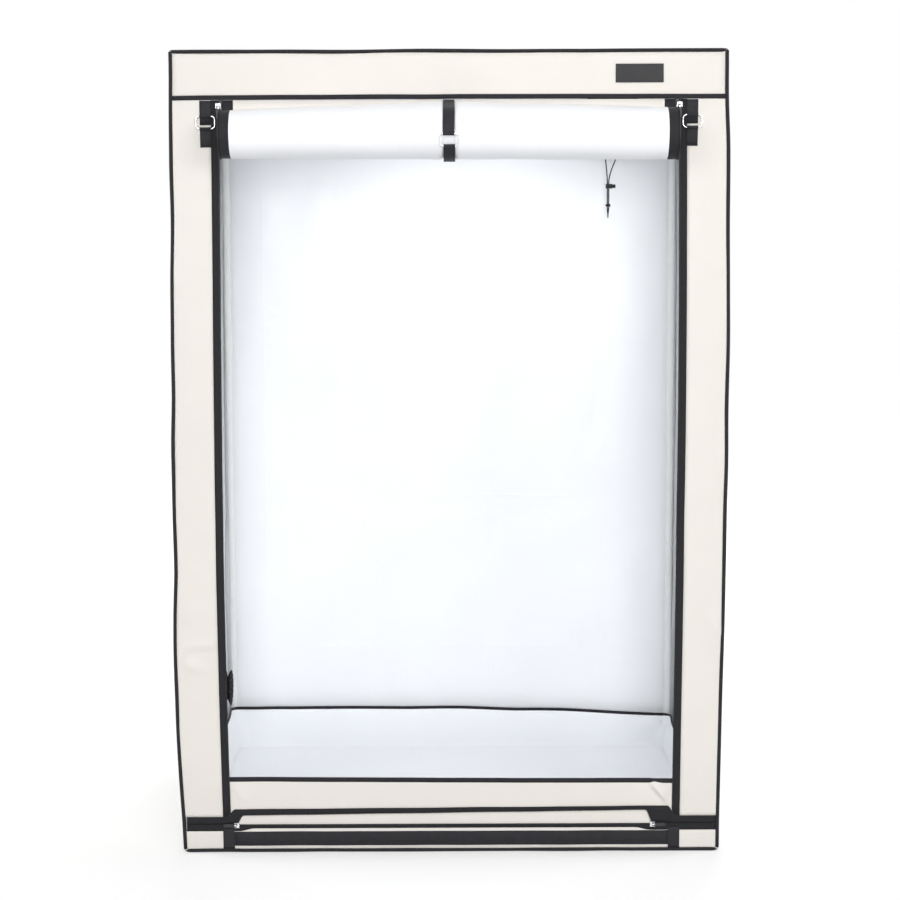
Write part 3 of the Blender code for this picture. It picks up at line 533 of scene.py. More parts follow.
def newest(made: Sequence[object], kind: type) -> list:
    """The items of one kind that an operator made."""
    return [item for item in made if isinstance(item, kind)]


@dataclass(frozen=True)
class Board:
    """The flat shape that a cloth panel is cut to, before its waves."""

    corner: Vector
    across: Vector
    up: Vector
    cell: float = 0.022

    @property
    def size(self) -> Point:
        """Its width and height."""
        return self.across.length, self.up.length

    @property
    def outward(self) -> Vector:
        """The way its face looks."""
        return self.across.cross(self.up).normalized()

    def cut(self, lift: Lift, hole: Circle | None = None, shift: Shift | None = None) -> Shape:
        """Cut the panel as a fine grid and wave it.

        Args:
            lift: how far a point stands out, from its places across and up in metres.
            hole: places across and up of a round hole's middle, and its radius.
            shift: how far a point moves across and up.

        Returns:
            The panel's bmesh, with its map in metres.
        """
        width, height = self.size
        shape = bmesh.new()
        shape.loops.layers.uv.new(CLOTH_MAP)
        bmesh.ops.create_grid(shape, x_segments=max(2, round(width / self.cell)),
                              y_segments=max(2, round(height / self.cell)), size=0.5)
        for vert in shape.verts:
            vert.co = Vector(((vert.co.x + 0.5) * width, (vert.co.y + 0.5) * height, 0))
        if hole:
            self.open(shape, hole)
        map_flat(shape)
        over, along, out = self.across.normalized(), self.up.normalized(), self.outward
        for vert in shape.verts:
            x, y = vert.co.x, vert.co.y
            dx, dy = shift(x, y) if shift else (0, 0)
            vert.co = self.corner + over * (x + dx) + along * (y + dy) + out * lift(x, y)
        return shape

    @staticmethod
    def open(shape: Shape, hole: Circle) -> None:
        """Open a round hole in a flat grid and draw its edge onto the circle.

        Args:
            shape: the grid's bmesh.
            hole: places across and up of the hole's middle, and its radius.
        """
        middle, radius = Vector((hole[0], hole[1], 0)), hole[2]
        edge = {vert for vert in shape.verts if vert.is_boundary}
        inside = [vert for vert in shape.verts if (vert.co - middle).length < radius]
        bmesh.ops.delete(shape, geom=inside, context="VERTS")
        for vert in shape.verts:
            away = vert.co - middle
            if vert.is_boundary and vert not in edge and away.length < 1.6 * radius:
                vert.co = middle + away.normalized() * radius


def port_fade(x: float, y: float, hole: Circle | None) -> float:
    """Nothing round a port, whose sleeve holds the cloth, and 1 further out.

    Args:
        x, y: the place on the panel, across and up.
        hole: places across and up of the port's middle, and its radius, or None without a port.

    Returns:
        The share of the panel's waves.
    """
    if not hole:
        return 1
    away = (Vector((x, y)) - Vector(hole[:2])).length
    return ease((away - 1.22 * hole[2]) / hole[2])


def edge_fade(x: float, y: float, width: float, height: float, reach: float) -> float:
    """Nothing at a panel's edges, and 1 further in than reach."""
    return ease(min(x, width - x) / reach) * ease(min(y, height - y) / reach)


def run_frames(points: Sequence[Vector], side: Vector | None = None, closed: bool = False) -> list[Matrix]:
    """Frames along a path, for a profile that is swept along it.

    Args:
        points: the path.
        side: the way the profile's X looks, or None to turn with the path as little as possible.
        closed: whether the path meets its start.

    Returns:
        One frame for each point, whose Z is the path's direction.
    """
    count = len(points)
    frames = []
    for index, point in enumerate(points):
        before = points[index - 1] if index or closed else point
        after = points[(index + 1) % count] if index < count - 1 or closed else point
        along = (after - before).normalized()
        if side is None and not frames:
            start = Vector((0, 0, 1)) if abs(along.z) < 0.9 else Vector((1, 0, 0))
        else:
            start = side if side is not None else frames[-1].col[0].to_3d()
        x = (start - along * start.dot(along)).normalized()
        frames.append(Matrix.Translation(point) @ Matrix((x, along.cross(x), along)).transposed().to_4x4())
    return frames


def sweep(shape: Shape, profile: Sequence[Point], frames: Sequence[Matrix], closed: bool = False) -> None:
    """Sweep a closed profile along frames, with a map in metres along it and round it.

    Args:
        shape: the bmesh it is added to.
        profile: the profile's points, in order.
        frames: where it goes.
        closed: whether the last frame meets the first.
    """
    cloth = shape.loops.layers.uv.verify()
    run = shape.verts.layers.float.get("run") or shape.verts.layers.float.new("run")
    turn = shape.verts.layers.float.get("turn") or shape.verts.layers.float.new("turn")
    ring = bmesh.ops.create_circle(shape, segments=len(profile), radius=1)["verts"]
    perimeter = 0.0
    for index, (vert, point) in enumerate(zip(ring, profile)):
        vert.co = frames[0] @ Vector((*point, 0))
        vert[turn] = perimeter
        after = profile[(index + 1) % len(profile)]
        perimeter += (Vector(after) - Vector(point)).length
    edges = list({edge for vert in ring for edge in vert.link_edges})
    first, faces, length = edges, [], 0.0
    for before, after in zip(frames, frames[1:]):
        made = bmesh.ops.extrude_edge_only(shape, edges=edges)["geom"]
        moved = newest(made, bmesh.types.BMVert)
        bmesh.ops.transform(shape, matrix=after @ before.inverted(), verts=moved)
        length += (after.translation - before.translation).length
        for vert in moved:
            vert[run] = length
        faces += newest(made, bmesh.types.BMFace)
        fresh = set(moved)
        edges = [edge for edge in newest(made, bmesh.types.BMEdge) if fresh.issuperset(edge.verts)]
    if closed:
        faces += bmesh.ops.bridge_loops(shape, edges=edges + first)["faces"]
    else:
        bmesh.ops.edgeloop_fill(shape, edges=first)
        bmesh.ops.edgeloop_fill(shape, edges=edges)
    for face in faces:
        runs = [loop.vert[run] for loop in face.loops]
        turns = [loop.vert[turn] for loop in face.loops]
        for loop, along, about in zip(face.loops, runs, turns):
            if max(turns) - min(turns) > perimeter / 2 and about < perimeter / 2:
                about += perimeter
            if max(runs) - min(runs) > length / 2 and along < length / 2 and closed:
                along += length
            loop[cloth].uv = (along, about - perimeter / 4)
    bmesh.ops.recalc_face_normals(shape, faces=shape.faces)


def round_profile(radius: float, sides: int = 10) -> list[Point]:
    """A circle's points."""
    angles = [2 * pi * step / sides for step in range(sides)]
    return [(radius * cos(angle), radius * sin(angle)) for angle in angles]


def tape_profile(width: float, thickness: float) -> list[Point]:
    """A flat tape's section, with rounded edges and its width along X.

    Args:
        width, thickness: its size.

    Returns:
        Its points in order.
    """
    edge, half = thickness / 2, width / 2 - thickness / 2
    end = [(half, -edge), (half + edge * 0.7, -edge * 0.7), (half + edge, 0),
           (half + edge * 0.7, edge * 0.7), (half, edge), (0, edge)]
    return end + [(-x, -y) for x, y in end]


def swept(name: str, body: str, finish: Finish, profile: Sequence[Point],
          runs: Iterable[tuple[Sequence[Vector], Vector | None, bool]], node: str | None = None) -> Piece:
    """A piece of one profile swept along several runs.

    Args:
        name: the piece's name.
        body: the body it rides on.
        finish: its finish.
        profile: the section.
        runs: for each run its points, its side or None, and whether it is closed.
        node: the CAD node that it stands for.

    Returns:
        The piece.
    """
    shape = bmesh.new()
    shape.loops.layers.uv.new(CLOTH_MAP)
    for points, side, closed in runs:
        sweep(shape, profile, run_frames(points, side, closed), closed)
    return finished(name, shape, body, finish, node=node)


def circle_points(middle: Vector, first: Vector, second: Vector, steps: int) -> list[Vector]:
    """Points round a circle or an ellipse.

    Args:
        middle: its middle.
        first, second: its two half axes.
        steps: how many points it has.

    Returns:
        The points.
    """
    angles = [2 * pi * step / steps for step in range(steps)]
    return [middle + first * cos(angle) + second * sin(angle) for angle in angles]


def evenly(half: float, count: int) -> list[float]:
    """Places from minus half to half, in a number of steps on each side."""
    return [half * (step / count - 1) for step in range(2 * count + 1)]


def flat_arc(middle: Point, radius: float, start: float, end: float, steps: int) -> list[Point]:
    """Points of an arc, both ends included."""
    angles = [start + (end - start) * step / steps for step in range(steps + 1)]
    return [(middle[0] + radius * cos(angle), middle[1] + radius * sin(angle)) for angle in angles]


def in_steps(start: Vector, end: Vector, step: float) -> list[Vector]:
    """Points from one place to another, about a step apart."""
    count = max(2, round((end - start).length / step))
    return [start.lerp(end, index / count) for index in range(count + 1)]


def rounded_outline(half_x: float, half_y: float, corner: float, steps: int) -> list[Point]:
    """A rectangle's outline with round corners, from its right side anticlockwise.

    Args:
        half_x, half_y: half its width and height.
        corner: its corners' radius.
        steps: the steps of each corner.

    Returns:
        Its points in order.
    """
    outline = []
    for turn, (side, face) in enumerate(((1, 1), (-1, 1), (-1, -1), (1, -1))):
        outline += flat_arc((side * (half_x - corner), face * (half_y - corner)), corner,
                            turn * pi / 2, (turn + 1) * pi / 2, steps)
    return outline


def teeth(shape: Shape, points: Sequence[Vector], outward: Vector, pitch: float = 0.0021) -> None:
    """A zip's teeth along a path: small rounded bars across it.

    Args:
        shape: the bmesh they are added to.
        points: the path.
        outward: the way the chain faces.
        pitch: the spacing of the teeth.
    """
    tooth = bmesh.new()
    bmesh.ops.create_cube(tooth, size=1, matrix=Matrix.Diagonal((*TOOTH, 1)))
    long_edges = [edge for edge in tooth.edges if abs(edge.verts[0].co.x - edge.verts[1].co.x) > 0.001]
    bmesh.ops.bevel(tooth, geom=long_edges, offset=TOOTH_BEVEL, segments=1, profile=0.5, affect="EDGES",
                    material=-1)
    mesh = bpy.data.meshes.new("tooth")
    tooth.to_mesh(mesh)
    tooth.free()
    left = 0.0
    for before, after in zip(points, points[1:]):
        along = after - before
        x = along.cross(outward).normalized()
        turn = Matrix((x, outward, along.normalized())).transposed().to_4x4()
        while left < along.length:
            placed = Matrix.Translation(before + along.normalized() * left) @ turn
            mesh.transform(placed)
            shape.from_mesh(mesh)
            mesh.transform(placed.inverted())
            left += pitch
        left -= along.length
    bpy.data.meshes.remove(mesh)


# Cover

def belly(side: int, share: float, full: float, seed: float, foot_share: float = 0.0) -> float:
    """How far a line bellies towards its side, fuller low down on the left and high up on the right.

    Args:
        side: -1 on the left and 1 on the right.
        share: the place along the line, 0 at its foot and 1 at its top.
        full: how far it goes in its middle.
        seed: the seed of its small waves.
        foot_share: how much of a second belly it has near the left foot.

    Returns:
        The way it moves across.
    """
    share = min(max(share, 0), 1)
    lean = 0.45 if side < 0 else -0.3
    waves = 0.12 * full * swell(0, side, share * 1.7, 0.16, seed)
    foot = 0.62 * full * sin(pi * min(share / 0.36, 1)) if side < 0 else 0
    main = sin(pi * share) * (full * (1 + lean * cos(pi * share)) + waves)
    return side * (main + foot * foot_share)


def zip_sway(side: int, z: float) -> float:
    """How far a column's zip bows towards the tent's side, at a height."""
    full = LEFT_ZIP_SWAY if side < 0 else RIGHT_ZIP_SWAY
    return belly(side, (z - COLUMN_LOW) / (FRONT_TOP - COLUMN_LOW), full, 0)


def side_bow(side: int, z: float) -> float:
    """How far a side of the cover bellies out, at a height."""
    return belly(side, z / HEIGHT, SIDE_BOW, 2, 1.0)


@dataclass(frozen=True)
class Fold:
    """A ridge of cloth along a line, softer above than below."""

    start: Point
    end: Point
    height: float
    width: float

    def at(self, x: float, z: float) -> float:
        """How far it stands out.

        Args:
            x, z: the place, across and up.

        Returns:
            Its height there.
        """
        line, point = Vector(self.end) - Vector(self.start), Vector((x, z)) - Vector(self.start)
        share = point.dot(line) / line.length_squared
        off = (line.x * point.y - line.y * point.x) / line.length
        side = self.width * (2.2 if off > 0 else 0.7)
        ends = ease(share / 0.35 + 0.2) * ease((1.15 - share) / 0.3)
        return self.height * exp(-(off / side) ** 2) * ends


COLUMN_FOLDS = {-1: (Fold((-0.588, 0.470), (-0.522, 0.476), 0.0052, 0.006),
                     Fold((-0.592, 0.438), (-0.545, 0.414), 0.0044, 0.006),
                     Fold((-0.590, 0.530), (-0.552, 0.556), 0.0030, 0.008)),
                1: (Fold((0.558, 0.548), (0.602, 0.492), 0.0044, 0.007),
                    Fold((0.548, 1.330), (0.590, 1.300), 0.0016, 0.010))}
SILL_RIGHT_FOLD = Fold((0.449, 0.160), (0.491, 0.112), 0.0085, 0.0060)
SILL_LEFT_FOLD = Fold((-0.494, 0.152), (-0.470, 0.112), 0.0022, 0.006)


@dataclass(frozen=True)
class Cover:
    """The cloth panels of the cover, off-white outside and coated white inside."""

    half_x: float = 0.6018
    half_y: float = 0.4518
    low: float = 0.0045
    top: float = 1.7842
    wave: float = 0.0028
    port_radius: float = 0.0785
    sill_back: float = -0.4507
    sill_low: float = 0.0297
    sill_half: float = 0.5155
    sill_hem: Point = (0.0112, 0.0034)
    sill_sag: float = 0.0010
    base_height: float = 0.0445
    hem_allowance: float = 0.009
    floor_inset: float = 0.001
    floor_level: float = 0.0014
    roof_sag: float = 0.0016
    header_wave: float = 0.0014
    base_wave: float = 0.0006
    floor_wave: float = 0.00008
    back_cell: float = 0.018
    header_cell: float = 0.015
    column_cell: float = 0.008
    base_cell: float = 0.009
    sill_cell: float = 0.0035
    floor_cell: float = 0.04

    def wall_wave(self, width: float, height: float, seed: float) -> Lift:
        """Soft swells of a stretched wall, that stop at its edges.

        Args:
            width, height: the wall's size.
            seed: the seed of its swells.

        Returns:
            What gives the swell at a place.
        """

        def lift(x: float, y: float) -> float:
            """The swell at a place.

            Args:
                x, y: the place on the wall, across and up.

            Returns:
                How far the wall stands out.
            """
            broad = swell(x, y * 0.6, 0, 0.34, seed)
            fine = swell(x * 1.3, y * 0.8, 0, 0.11, seed + 4)
            return (self.wave * broad + self.wave * 0.32 * fine) * edge_fade(x, y, width, height, 0.09)

        return lift

    def panel(self, name: str, board: Board, node: str | None, seed: float, hole: Circle | None = None,
              lift: Lift | None = None, shift: Shift | None = None) -> None:
        """Args:
            name: the piece's name.
            board: its flat shape.
            node: the CAD node it stands for.
            seed: the seed of its waves.
            hole: a port's place and radius on it.
            lift: its waves, if they aren't a wall's.
            shift: the shape of its edges.
        """
        width, height = board.size
        wave = lift or self.wall_wave(width, height, seed)
        piece = finished(name, board.cut(wave, hole, shift), BODY, OUTSIDE, INSIDE, node=node)
        thicken(piece, CLOTH, -1, 1)

    def build(self) -> None:
        """Make all the panels."""
        tall = Vector((0, 0, self.top - self.low))
        wide, deep = 2 * self.half_x, 2 * self.half_y
        back_hole = (self.half_x - BACK_PORT[0], BACK_PORT[2] - self.low, self.port_radius)
        back = Board(Vector((self.half_x, HALF_DEPTH, self.low)), Vector((-wide, 0, 0)), tall, self.back_cell)
        self.panel("back_cloth", back, "back_panel", 1, back_hole,
                   lambda x, y: self.back_wave(x, y) * port_fade(x, y, back_hole),
                   lambda x, y: (-self.edge_bow(self.half_x - x, self.low + y), 0))
        left_hole = (self.half_y - LEFT_PORT[1], LEFT_PORT[2] - self.low, self.port_radius)
        left = Board(Vector((-HALF_WIDTH, self.half_y, self.low)), Vector((0, -deep, 0)), tall)
        right = Board(Vector((HALF_WIDTH, -self.half_y, self.low)), Vector((0, deep, 0)), tall)
        for name, side, board, hole, seed in (("left", -1, left, left_hole, 5), ("right", 1, right, None, 9)):
            wave = self.wall_wave(deep, tall.z, seed)
            self.panel(name + "_cloth", board, name + "_panel", seed, hole,
                       lambda x, y, at=side, swells=wave, port=hole:
                       (swells(x, y) + abs(side_bow(at, self.low + y))) * port_fade(x, y, port))
        roof = Board(Vector((-self.half_x, -self.half_y, HEIGHT)), Vector((wide, 0, 0)), Vector((0, deep, 0)))
        self.panel("roof_cloth", roof, "roof_panel", 13, None,
                   lambda x, y:
                   -self.roof_sag * edge_fade(x, y, wide, deep, 0.2) * (1.1 + 0.6 * swell(x, y, 0, 0.2)))
        self.build_floor(wide, deep)
        self.build_front(wide)
        self.build_sill()

    @staticmethod
    def edge_bow(x: float, z: float) -> float:
        """How far a front or back panel's point moves across, to follow the sides' bellies."""
        return side_bow(1 if x > 0 else -1, z) * ease((abs(x) - 0.50) / 0.10)

    def back_wave(self, x: float, y: float) -> float:
        """The back wall's swells: broad and slanting, with a fold that falls from the port's corner.

        Args:
            x, y: the place on the wall, across and up.

        Returns:
            How far the wall stands out.
        """
        fade = edge_fade(x, y, 2 * self.half_x, self.top - self.low, 0.10)
        slant = swell(x + 0.35 * y, 0.5 * y, 0, 0.30, 2)
        tension = exp(-((x - 0.62 + 0.22 * sin(y * 1.1)) / 0.05) ** 2) * ease((1.5 - y) / 0.8)
        fine = swell(x * 1.4 + 0.2 * y, y * 0.55, 0, 0.075, 7)
        return fade * (0.0052 * slant + 0.0016 * tension + 0.0011 * fine)

    def build_floor(self, wide: float, deep: float) -> None:
        """The floor, which lies flat.

        Args:
            wide, deep: the cover's size.
        """
        inset = self.floor_inset
        board = Board(Vector((inset - self.half_x, inset - self.half_y, self.floor_level)),
                      Vector((wide - 2 * inset, 0, 0)), Vector((0, deep - 2 * inset, 0)), self.floor_cell)
        shape = board.cut(lambda x, y: self.floor_wave * swell(x, y, 0, 0.1))
        piece = finished("floor_cloth", shape, BODY, INSIDE, BINDING, node="floor_panel")
        thicken(piece, CLOTH, -1, 1)

    def build_front(self, wide: float) -> None:
        """Header, two columns and base panel round the doorway.

        Args:
            wide: the cover's width.
        """
        low = HEADER_LOW - self.hem_allowance
        rise = Vector((0, 0, self.top - low))
        header = Board(Vector((-self.half_x, FRONT, low)), Vector((wide, 0, 0)), rise, self.header_cell)
        self.panel("header_cloth", header, "front_panel", 17, None,
                   lambda x, y:
                   self.header_wave * edge_fade(x, y, wide, rise.z, 0.03) * swell(x, y * 0.7, 0, 0.13, 3),
                   lambda x, y: (self.edge_bow(x - self.half_x, low + y), 0))
        tall = HEADER_LOW - COLUMN_LOW
        reach = self.half_x - COLUMN_INNER
        for name, side in (("left", -1), ("right", 1)):
            start = -self.half_x if side < 0 else COLUMN_INNER
            board = Board(Vector((start, FRONT, COLUMN_LOW - 0.001)), Vector((reach, 0, 0)),
                          Vector((0, 0, tall)), self.column_cell)
            self.panel(name + "_column_cloth", board, None, 0, None,
                       lambda x, y, at=side, left=start: self.column_wave(at, left + x, COLUMN_LOW + y)
                       * edge_fade(x, y, reach, tall, 0.012),
                       lambda x, y, at=side:
                       (self.column_shift(at, (x if at < 0 else reach - x) / reach, y), 0))
        high = self.base_height
        base = Board(Vector((-self.half_x, FRONT, self.low)), Vector((wide, 0, 0)), Vector((0, 0, high)),
                     self.base_cell)
        self.panel("base_cloth", base, "base_panel", 0, None,
                   lambda x, y: self.base_wave * edge_fade(x, y, wide, high, 0.012) * swell(x, y, 0, 0.06, 5),
                   lambda x, y: (self.edge_bow(x - self.half_x, self.low + y),
                                 BaseZip.tuck(x - self.half_x) * y / high))

    @staticmethod
    def column_shift(side: int, share: float, y: float) -> float:
        """How far a column's point moves across, between the tent's corner and the zip.

        Args:
            side: -1 on the left and 1 on the right.
            share: the place across, 0 at the corner and 1 at the zip.
            y: the height above the column's foot.

        Returns:
            The way it moves.
        """
        z = COLUMN_LOW + y
        return side_bow(side, z) * (1 - share) + zip_sway(side, z) * share

    @staticmethod
    def column_wave(side: int, x: float, z: float) -> float:
        """A column's swells, with the slanting creases where its cloth is pulled."""
        waves = 0.0016 * swell(x, z * 0.45, side, 0.07) + 0.0022 * swell(x * 0.5, z, side, 0.24)
        return waves + sum(fold.at(x, z) for fold in COLUMN_FOLDS[side])

    def sill_lift(self, x: float, z: float) -> float:
        """How far the sill stands out, with a diagonal fold at its right end and a faint one at its left.

        Args:
            x: the place across.
            z: the height.

        Returns:
            How far it stands out of its plane.
        """
        ends = ease((self.sill_half - abs(x)) / 0.10)
        rise = (z - self.sill_low) / (SILL_TOP - self.sill_low)
        slack = -0.0035 * ends * rise * (1 + 0.5 * swell(x, 0, z, 0.25, 2))
        ripple = 0.0008 * ends * swell(x, 0, z, 0.07, 6)
        before_tape = ease((0.4915 - x) / 0.014)
        return slack + ripple + SILL_RIGHT_FOLD.at(x, z) * before_tape + SILL_LEFT_FOLD.at(x, z)

    def sill_height(self, x: float) -> float:
        """How far the sill's upper edge is above its cut, higher on the left."""
        return 0.0020 - 0.0033 * x / self.sill_half

    def build_sill(self) -> None:
        """The flap behind the base zip, with its black hem."""
        tall = SILL_TOP - self.sill_low - 0.002
        board = Board(Vector((-self.sill_half, self.sill_back, self.sill_low)),
                      Vector((2 * self.sill_half, 0, 0)), Vector((0, 0, tall)), self.sill_cell)
        self.panel("sill_cloth", board, "sill_panel", 0, None,
                   lambda x, y: self.sill_lift(x - self.sill_half, y + self.sill_low),
                   lambda x, y: (0, self.sill_height(x - self.sill_half) * y / tall))
        z = SILL_TOP - SILL_HEM_DROP
        points = []
        for x in evenly(self.sill_half, 60):
            hang = self.sill_sag * sin(pi * (x + self.sill_half) / self.sill_half / 2)
            points.append(Vector((x, self.sill_back + CLOTH / 2 - self.sill_lift(x, z),
                                  z + self.sill_height(x) - hang)))
        swept("sill_hem", BODY, BINDING, tape_profile(*self.sill_hem), [(points, UPWARD, False)])


@dataclass(frozen=True)
class Bindings:
    """Black piping along the cover's edges, and the header's hem."""

    step: float = 0.03
    wobble: float = 0.0011
    tape_inset: float = 0.0039
    back_tape_inset: float = 0.0046
    foot: float = 0.0086
    head: float = 1.784
    top: float = 1.78425
    corner: float = 0.012
    seam_tape: Point = (0.0086, 0.0006)
    hem: Point = (0.0102, 0.0016)
    hem_level: float = 1.6857
    hem_half: float = 0.6018

    def run(self, start: Vector, end: Vector, seed: float) -> list[Vector]:
        """A straight run of piping that wobbles a little, as a sewn edge does.

        Args:
            start, end: its ends, which stay in place.
            seed: the seed of its wobble.

        Returns:
            Its points.
        """
        length, along = (end - start).length, (end - start).normalized()
        points = []
        for point in in_steps(start, end, self.step):
            done = (point - start).length
            hold = ease(min(done, length - done) / 0.05)
            drift = Vector([swell(*point, 0.13, seed + more) for more in (0, 3, 7)])
            drift -= along * drift.dot(along)
            points.append(point + drift * self.wobble * 1.8 * hold)
        return points

    def loop(self, z: float, seed: float, least: float) -> list[Vector]:
        """A closed run round the plan of the cover.

        Args:
            z: its height.
            seed: the seed of its wobble.
            least: the least height that the wobble leaves it.

        Returns:
            Its points.
        """
        corners = rounded_outline(PLANE_X, PLANE_Y, self.corner, 3)
        points: list[Vector] = []
        for start, end in zip(corners, corners[1:] + corners[:1]):
            start, end = Vector((*start, z)), Vector((*end, z))
            if (end - start).length > 0.1:
                points += self.run(start, end, seed)[:-1]
            else:
                points.append(start)
        return [Vector((point.x, point.y, max(point.z, least))) for point in points]

    def build(self) -> None:
        """Make the piping and the hem."""
        uprights, tapes = [], []
        for side in (-1, 1):
            for face in (-1, 1):
                foot, top = (Vector((side * PLANE_X, face * PLANE_Y, z)) for z in (self.foot, self.head))
                points = self.run(foot, top, side + 2 * face)
                for point in points:
                    point.x += side_bow(side, point.z)
                uprights.append((points, None, False))
                sideways = self.back_tape_inset if face > 0 else self.tape_inset
                inset = Vector((-side * sideways, -face * self.tape_inset, 0))
                flat = ACROSS if face > 0 else Vector((face, -side, 0))
                tapes.append(([point + inset for point in points], flat, False))
        swept("corner_seam_tape", BODY, INSIDE, tape_profile(*self.seam_tape), tapes)
        section = round_profile(PIPING_RADIUS)
        top = (self.loop(self.top, 3, 0), None, True)
        swept("cover_binding_piping", BODY, BINDING, section, [top, *uprights], "cover_binding")
        bottom = (self.loop(PIPING_RADIUS, 11, PIPING_RADIUS), None, True)
        swept("bottom_binding_piping", BODY, BINDING, section, [bottom], "bottom_piping")
        points = [Vector((x + Cover.edge_bow(x, HEADER_LOW), FRONT - 0.0011 - 0.0005 * swell(x, 0, 0, 0.08),
                          self.hem_level + 0.0013 * cos(pi * x / 1.21) + 0.0006 * swell(x, 0, 0, 0.11, 3)))
                  for x in evenly(self.hem_half, 40)]
        swept("header_hem", BODY, BINDING, tape_profile(*self.hem), [(points, UPWARD, False)])


# Zips

@dataclass(frozen=True)
class DoorZip:
    """A column's half of the door zip: its tape and its teeth."""

    name: str
    side: int
    width: float = 0.0178
    thickness: float = 0.0014
    behind: float = 0.0008

    def line(self, x: float, y: float) -> list[Vector]:
        """A line down the zip, at a place across and deep."""
        return [Vector((self.side * x + zip_sway(self.side, z), y, z))
                for z in (COLUMN_LOW + (FRONT_TOP - COLUMN_LOW) * step / 60 for step in range(61))]

    def build(self) -> None:
        """Make the tape and the teeth."""
        name = self.name + "_zip_tape"
        line = self.line(DOORWAY_HALF + self.width / 2, FRONT + self.behind)
        swept(name, BODY, TAPE, tape_profile(self.width, self.thickness), [(line, ACROSS, False)], name)
        shape = bmesh.new()
        teeth(shape, self.line(CHAIN_X, CHAIN_Y), FORWARD)
        finished(self.name + "_zip_teeth", shape, BODY, TEETH, smooth=False)


@dataclass(frozen=True)
class BaseZip:
    """The zip along the base, open between its two sliders."""

    half: float = 0.5980
    low: float = 0.0488
    tape: float = 0.0157
    upper_tape: float = 0.0188
    lower_cell: float = 0.0052
    upper_cell: float = 0.0047
    teeth_above: float = 0.0015
    left: float = -0.4905
    right: float = 0.4603

    @staticmethod
    def inside(x: float, start: float = 0.0, reach: float = 0.032) -> float:
        """Nothing where the zip is closed, and 1 where it is open.

        Args:
            x: the place across.
            start: how far inside the sliders it begins.
            reach: the length it takes.

        Returns:
            The share.
        """
        return ease((min(x - BaseZip.left, BaseZip.right - x) - start) / reach)

    @staticmethod
    def tuck(x: float) -> float:
        """How far the base panel's top covers the lower tape where the zip is open."""
        return 0.0062 * BaseZip.inside(x, 0.012)

    def rise(self, x: float) -> float:
        """How far the upper tape's lower edge is lifted off the teeth."""
        return self.inside(x, 0.004, 0.016) * (0.0264 + 0.0114 * x + 0.0006 * swell(x, 0, 0, 0.12))

    def top_rise(self, x: float) -> float:
        """How far the upper tape's upper edge is lifted, between the door's zips."""
        return ease((0.507 - abs(x)) / 0.018) * (0.0190 + 0.0057 * x + 0.0006 * swell(x, 0, 0, 0.12))

    def lower_shift(self, x: float, y: float) -> tuple[float, float]:
        """How far a point of the lower tape moves across and up."""
        return 0, self.tuck(x - self.half) * (1 - y / self.tape)

    def upper_shift(self, x: float, y: float) -> tuple[float, float]:
        """How far a point of the upper tape moves across and up."""
        share = y / self.upper_tape
        return 0, self.rise(x - self.half) * (1 - share) + self.top_rise(x - self.half) * share

    def build(self) -> None:
        """Make both tapes and their teeth."""
        wide, middle = Vector((2 * self.half, 0, 0)), self.low + self.tape
        for name, low, tall, cell, shift, node in (
                ("lower", self.low, self.tape, self.lower_cell, self.lower_shift, "base_zip_tapes"),
                ("upper", middle, self.upper_tape, self.upper_cell, self.upper_shift, None)):
            board = Board(Vector((-self.half, FRONT + 0.0001, low)), wide, Vector((0, 0, tall)), cell)
            shape = board.cut(lambda x, y: 0.0002 * swell(x, y, 0, 0.04), None, shift)
            thicken(finished(f"base_zip_{name}_tape", shape, BODY, TAPE, node=node), CLOTH)
        steps = evenly(self.half, 150)
        closed = [Vector((x * 0.998, CHAIN_Y, BASE_CHAIN_Z)) for x in steps]
        lifted = [Vector((x, CHAIN_Y, middle + self.teeth_above + self.rise(x)))
                  for x in steps if self.rise(x) > 0]
        shape = bmesh.new()
        for line in (closed, lifted):
            teeth(shape, line, FORWARD)
        finished("base_zip_teeth", shape, BODY, TEETH, smooth=False)


@dataclass(frozen=True)
class GripBand:
    """The webbing band across the base, and the two short straps that it ends at."""

    depth: float = -0.45355
    level: float = 0.032
    width: float = 0.0330
    half: float = 0.4915
    strap_x: float = 0.503
    strap_foot: float = 0.0075
    strap_length: float = 0.0485
    strap_width: float = 0.026

    def build(self) -> None:
        """Make the band and the straps."""
        across = [Vector((x, self.depth - 0.0003 * swell(x, 0, 0, 0.07),
                          self.level + 0.0005 * swell(x, 0, 0, 0.1, 2))) for x in evenly(self.half, 30)]
        swept("grip_band_webbing", BODY, STRAPPING, tape_profile(self.width, STRAP_THICKNESS),
              [(across, UPWARD, False)], "grip_band")
        rises = [self.strap_foot + self.strap_length * step / 6 for step in range(7)]
        straps = [([Vector((side * self.strap_x, self.depth - 0.0004, z)) for z in rises], ACROSS, False)
                  for side in (-1, 1)]
        swept("base_strap_webbing", BODY, STRAPPING, tape_profile(self.strap_width, STRAP_THICKNESS), straps)


# Rolled-up door

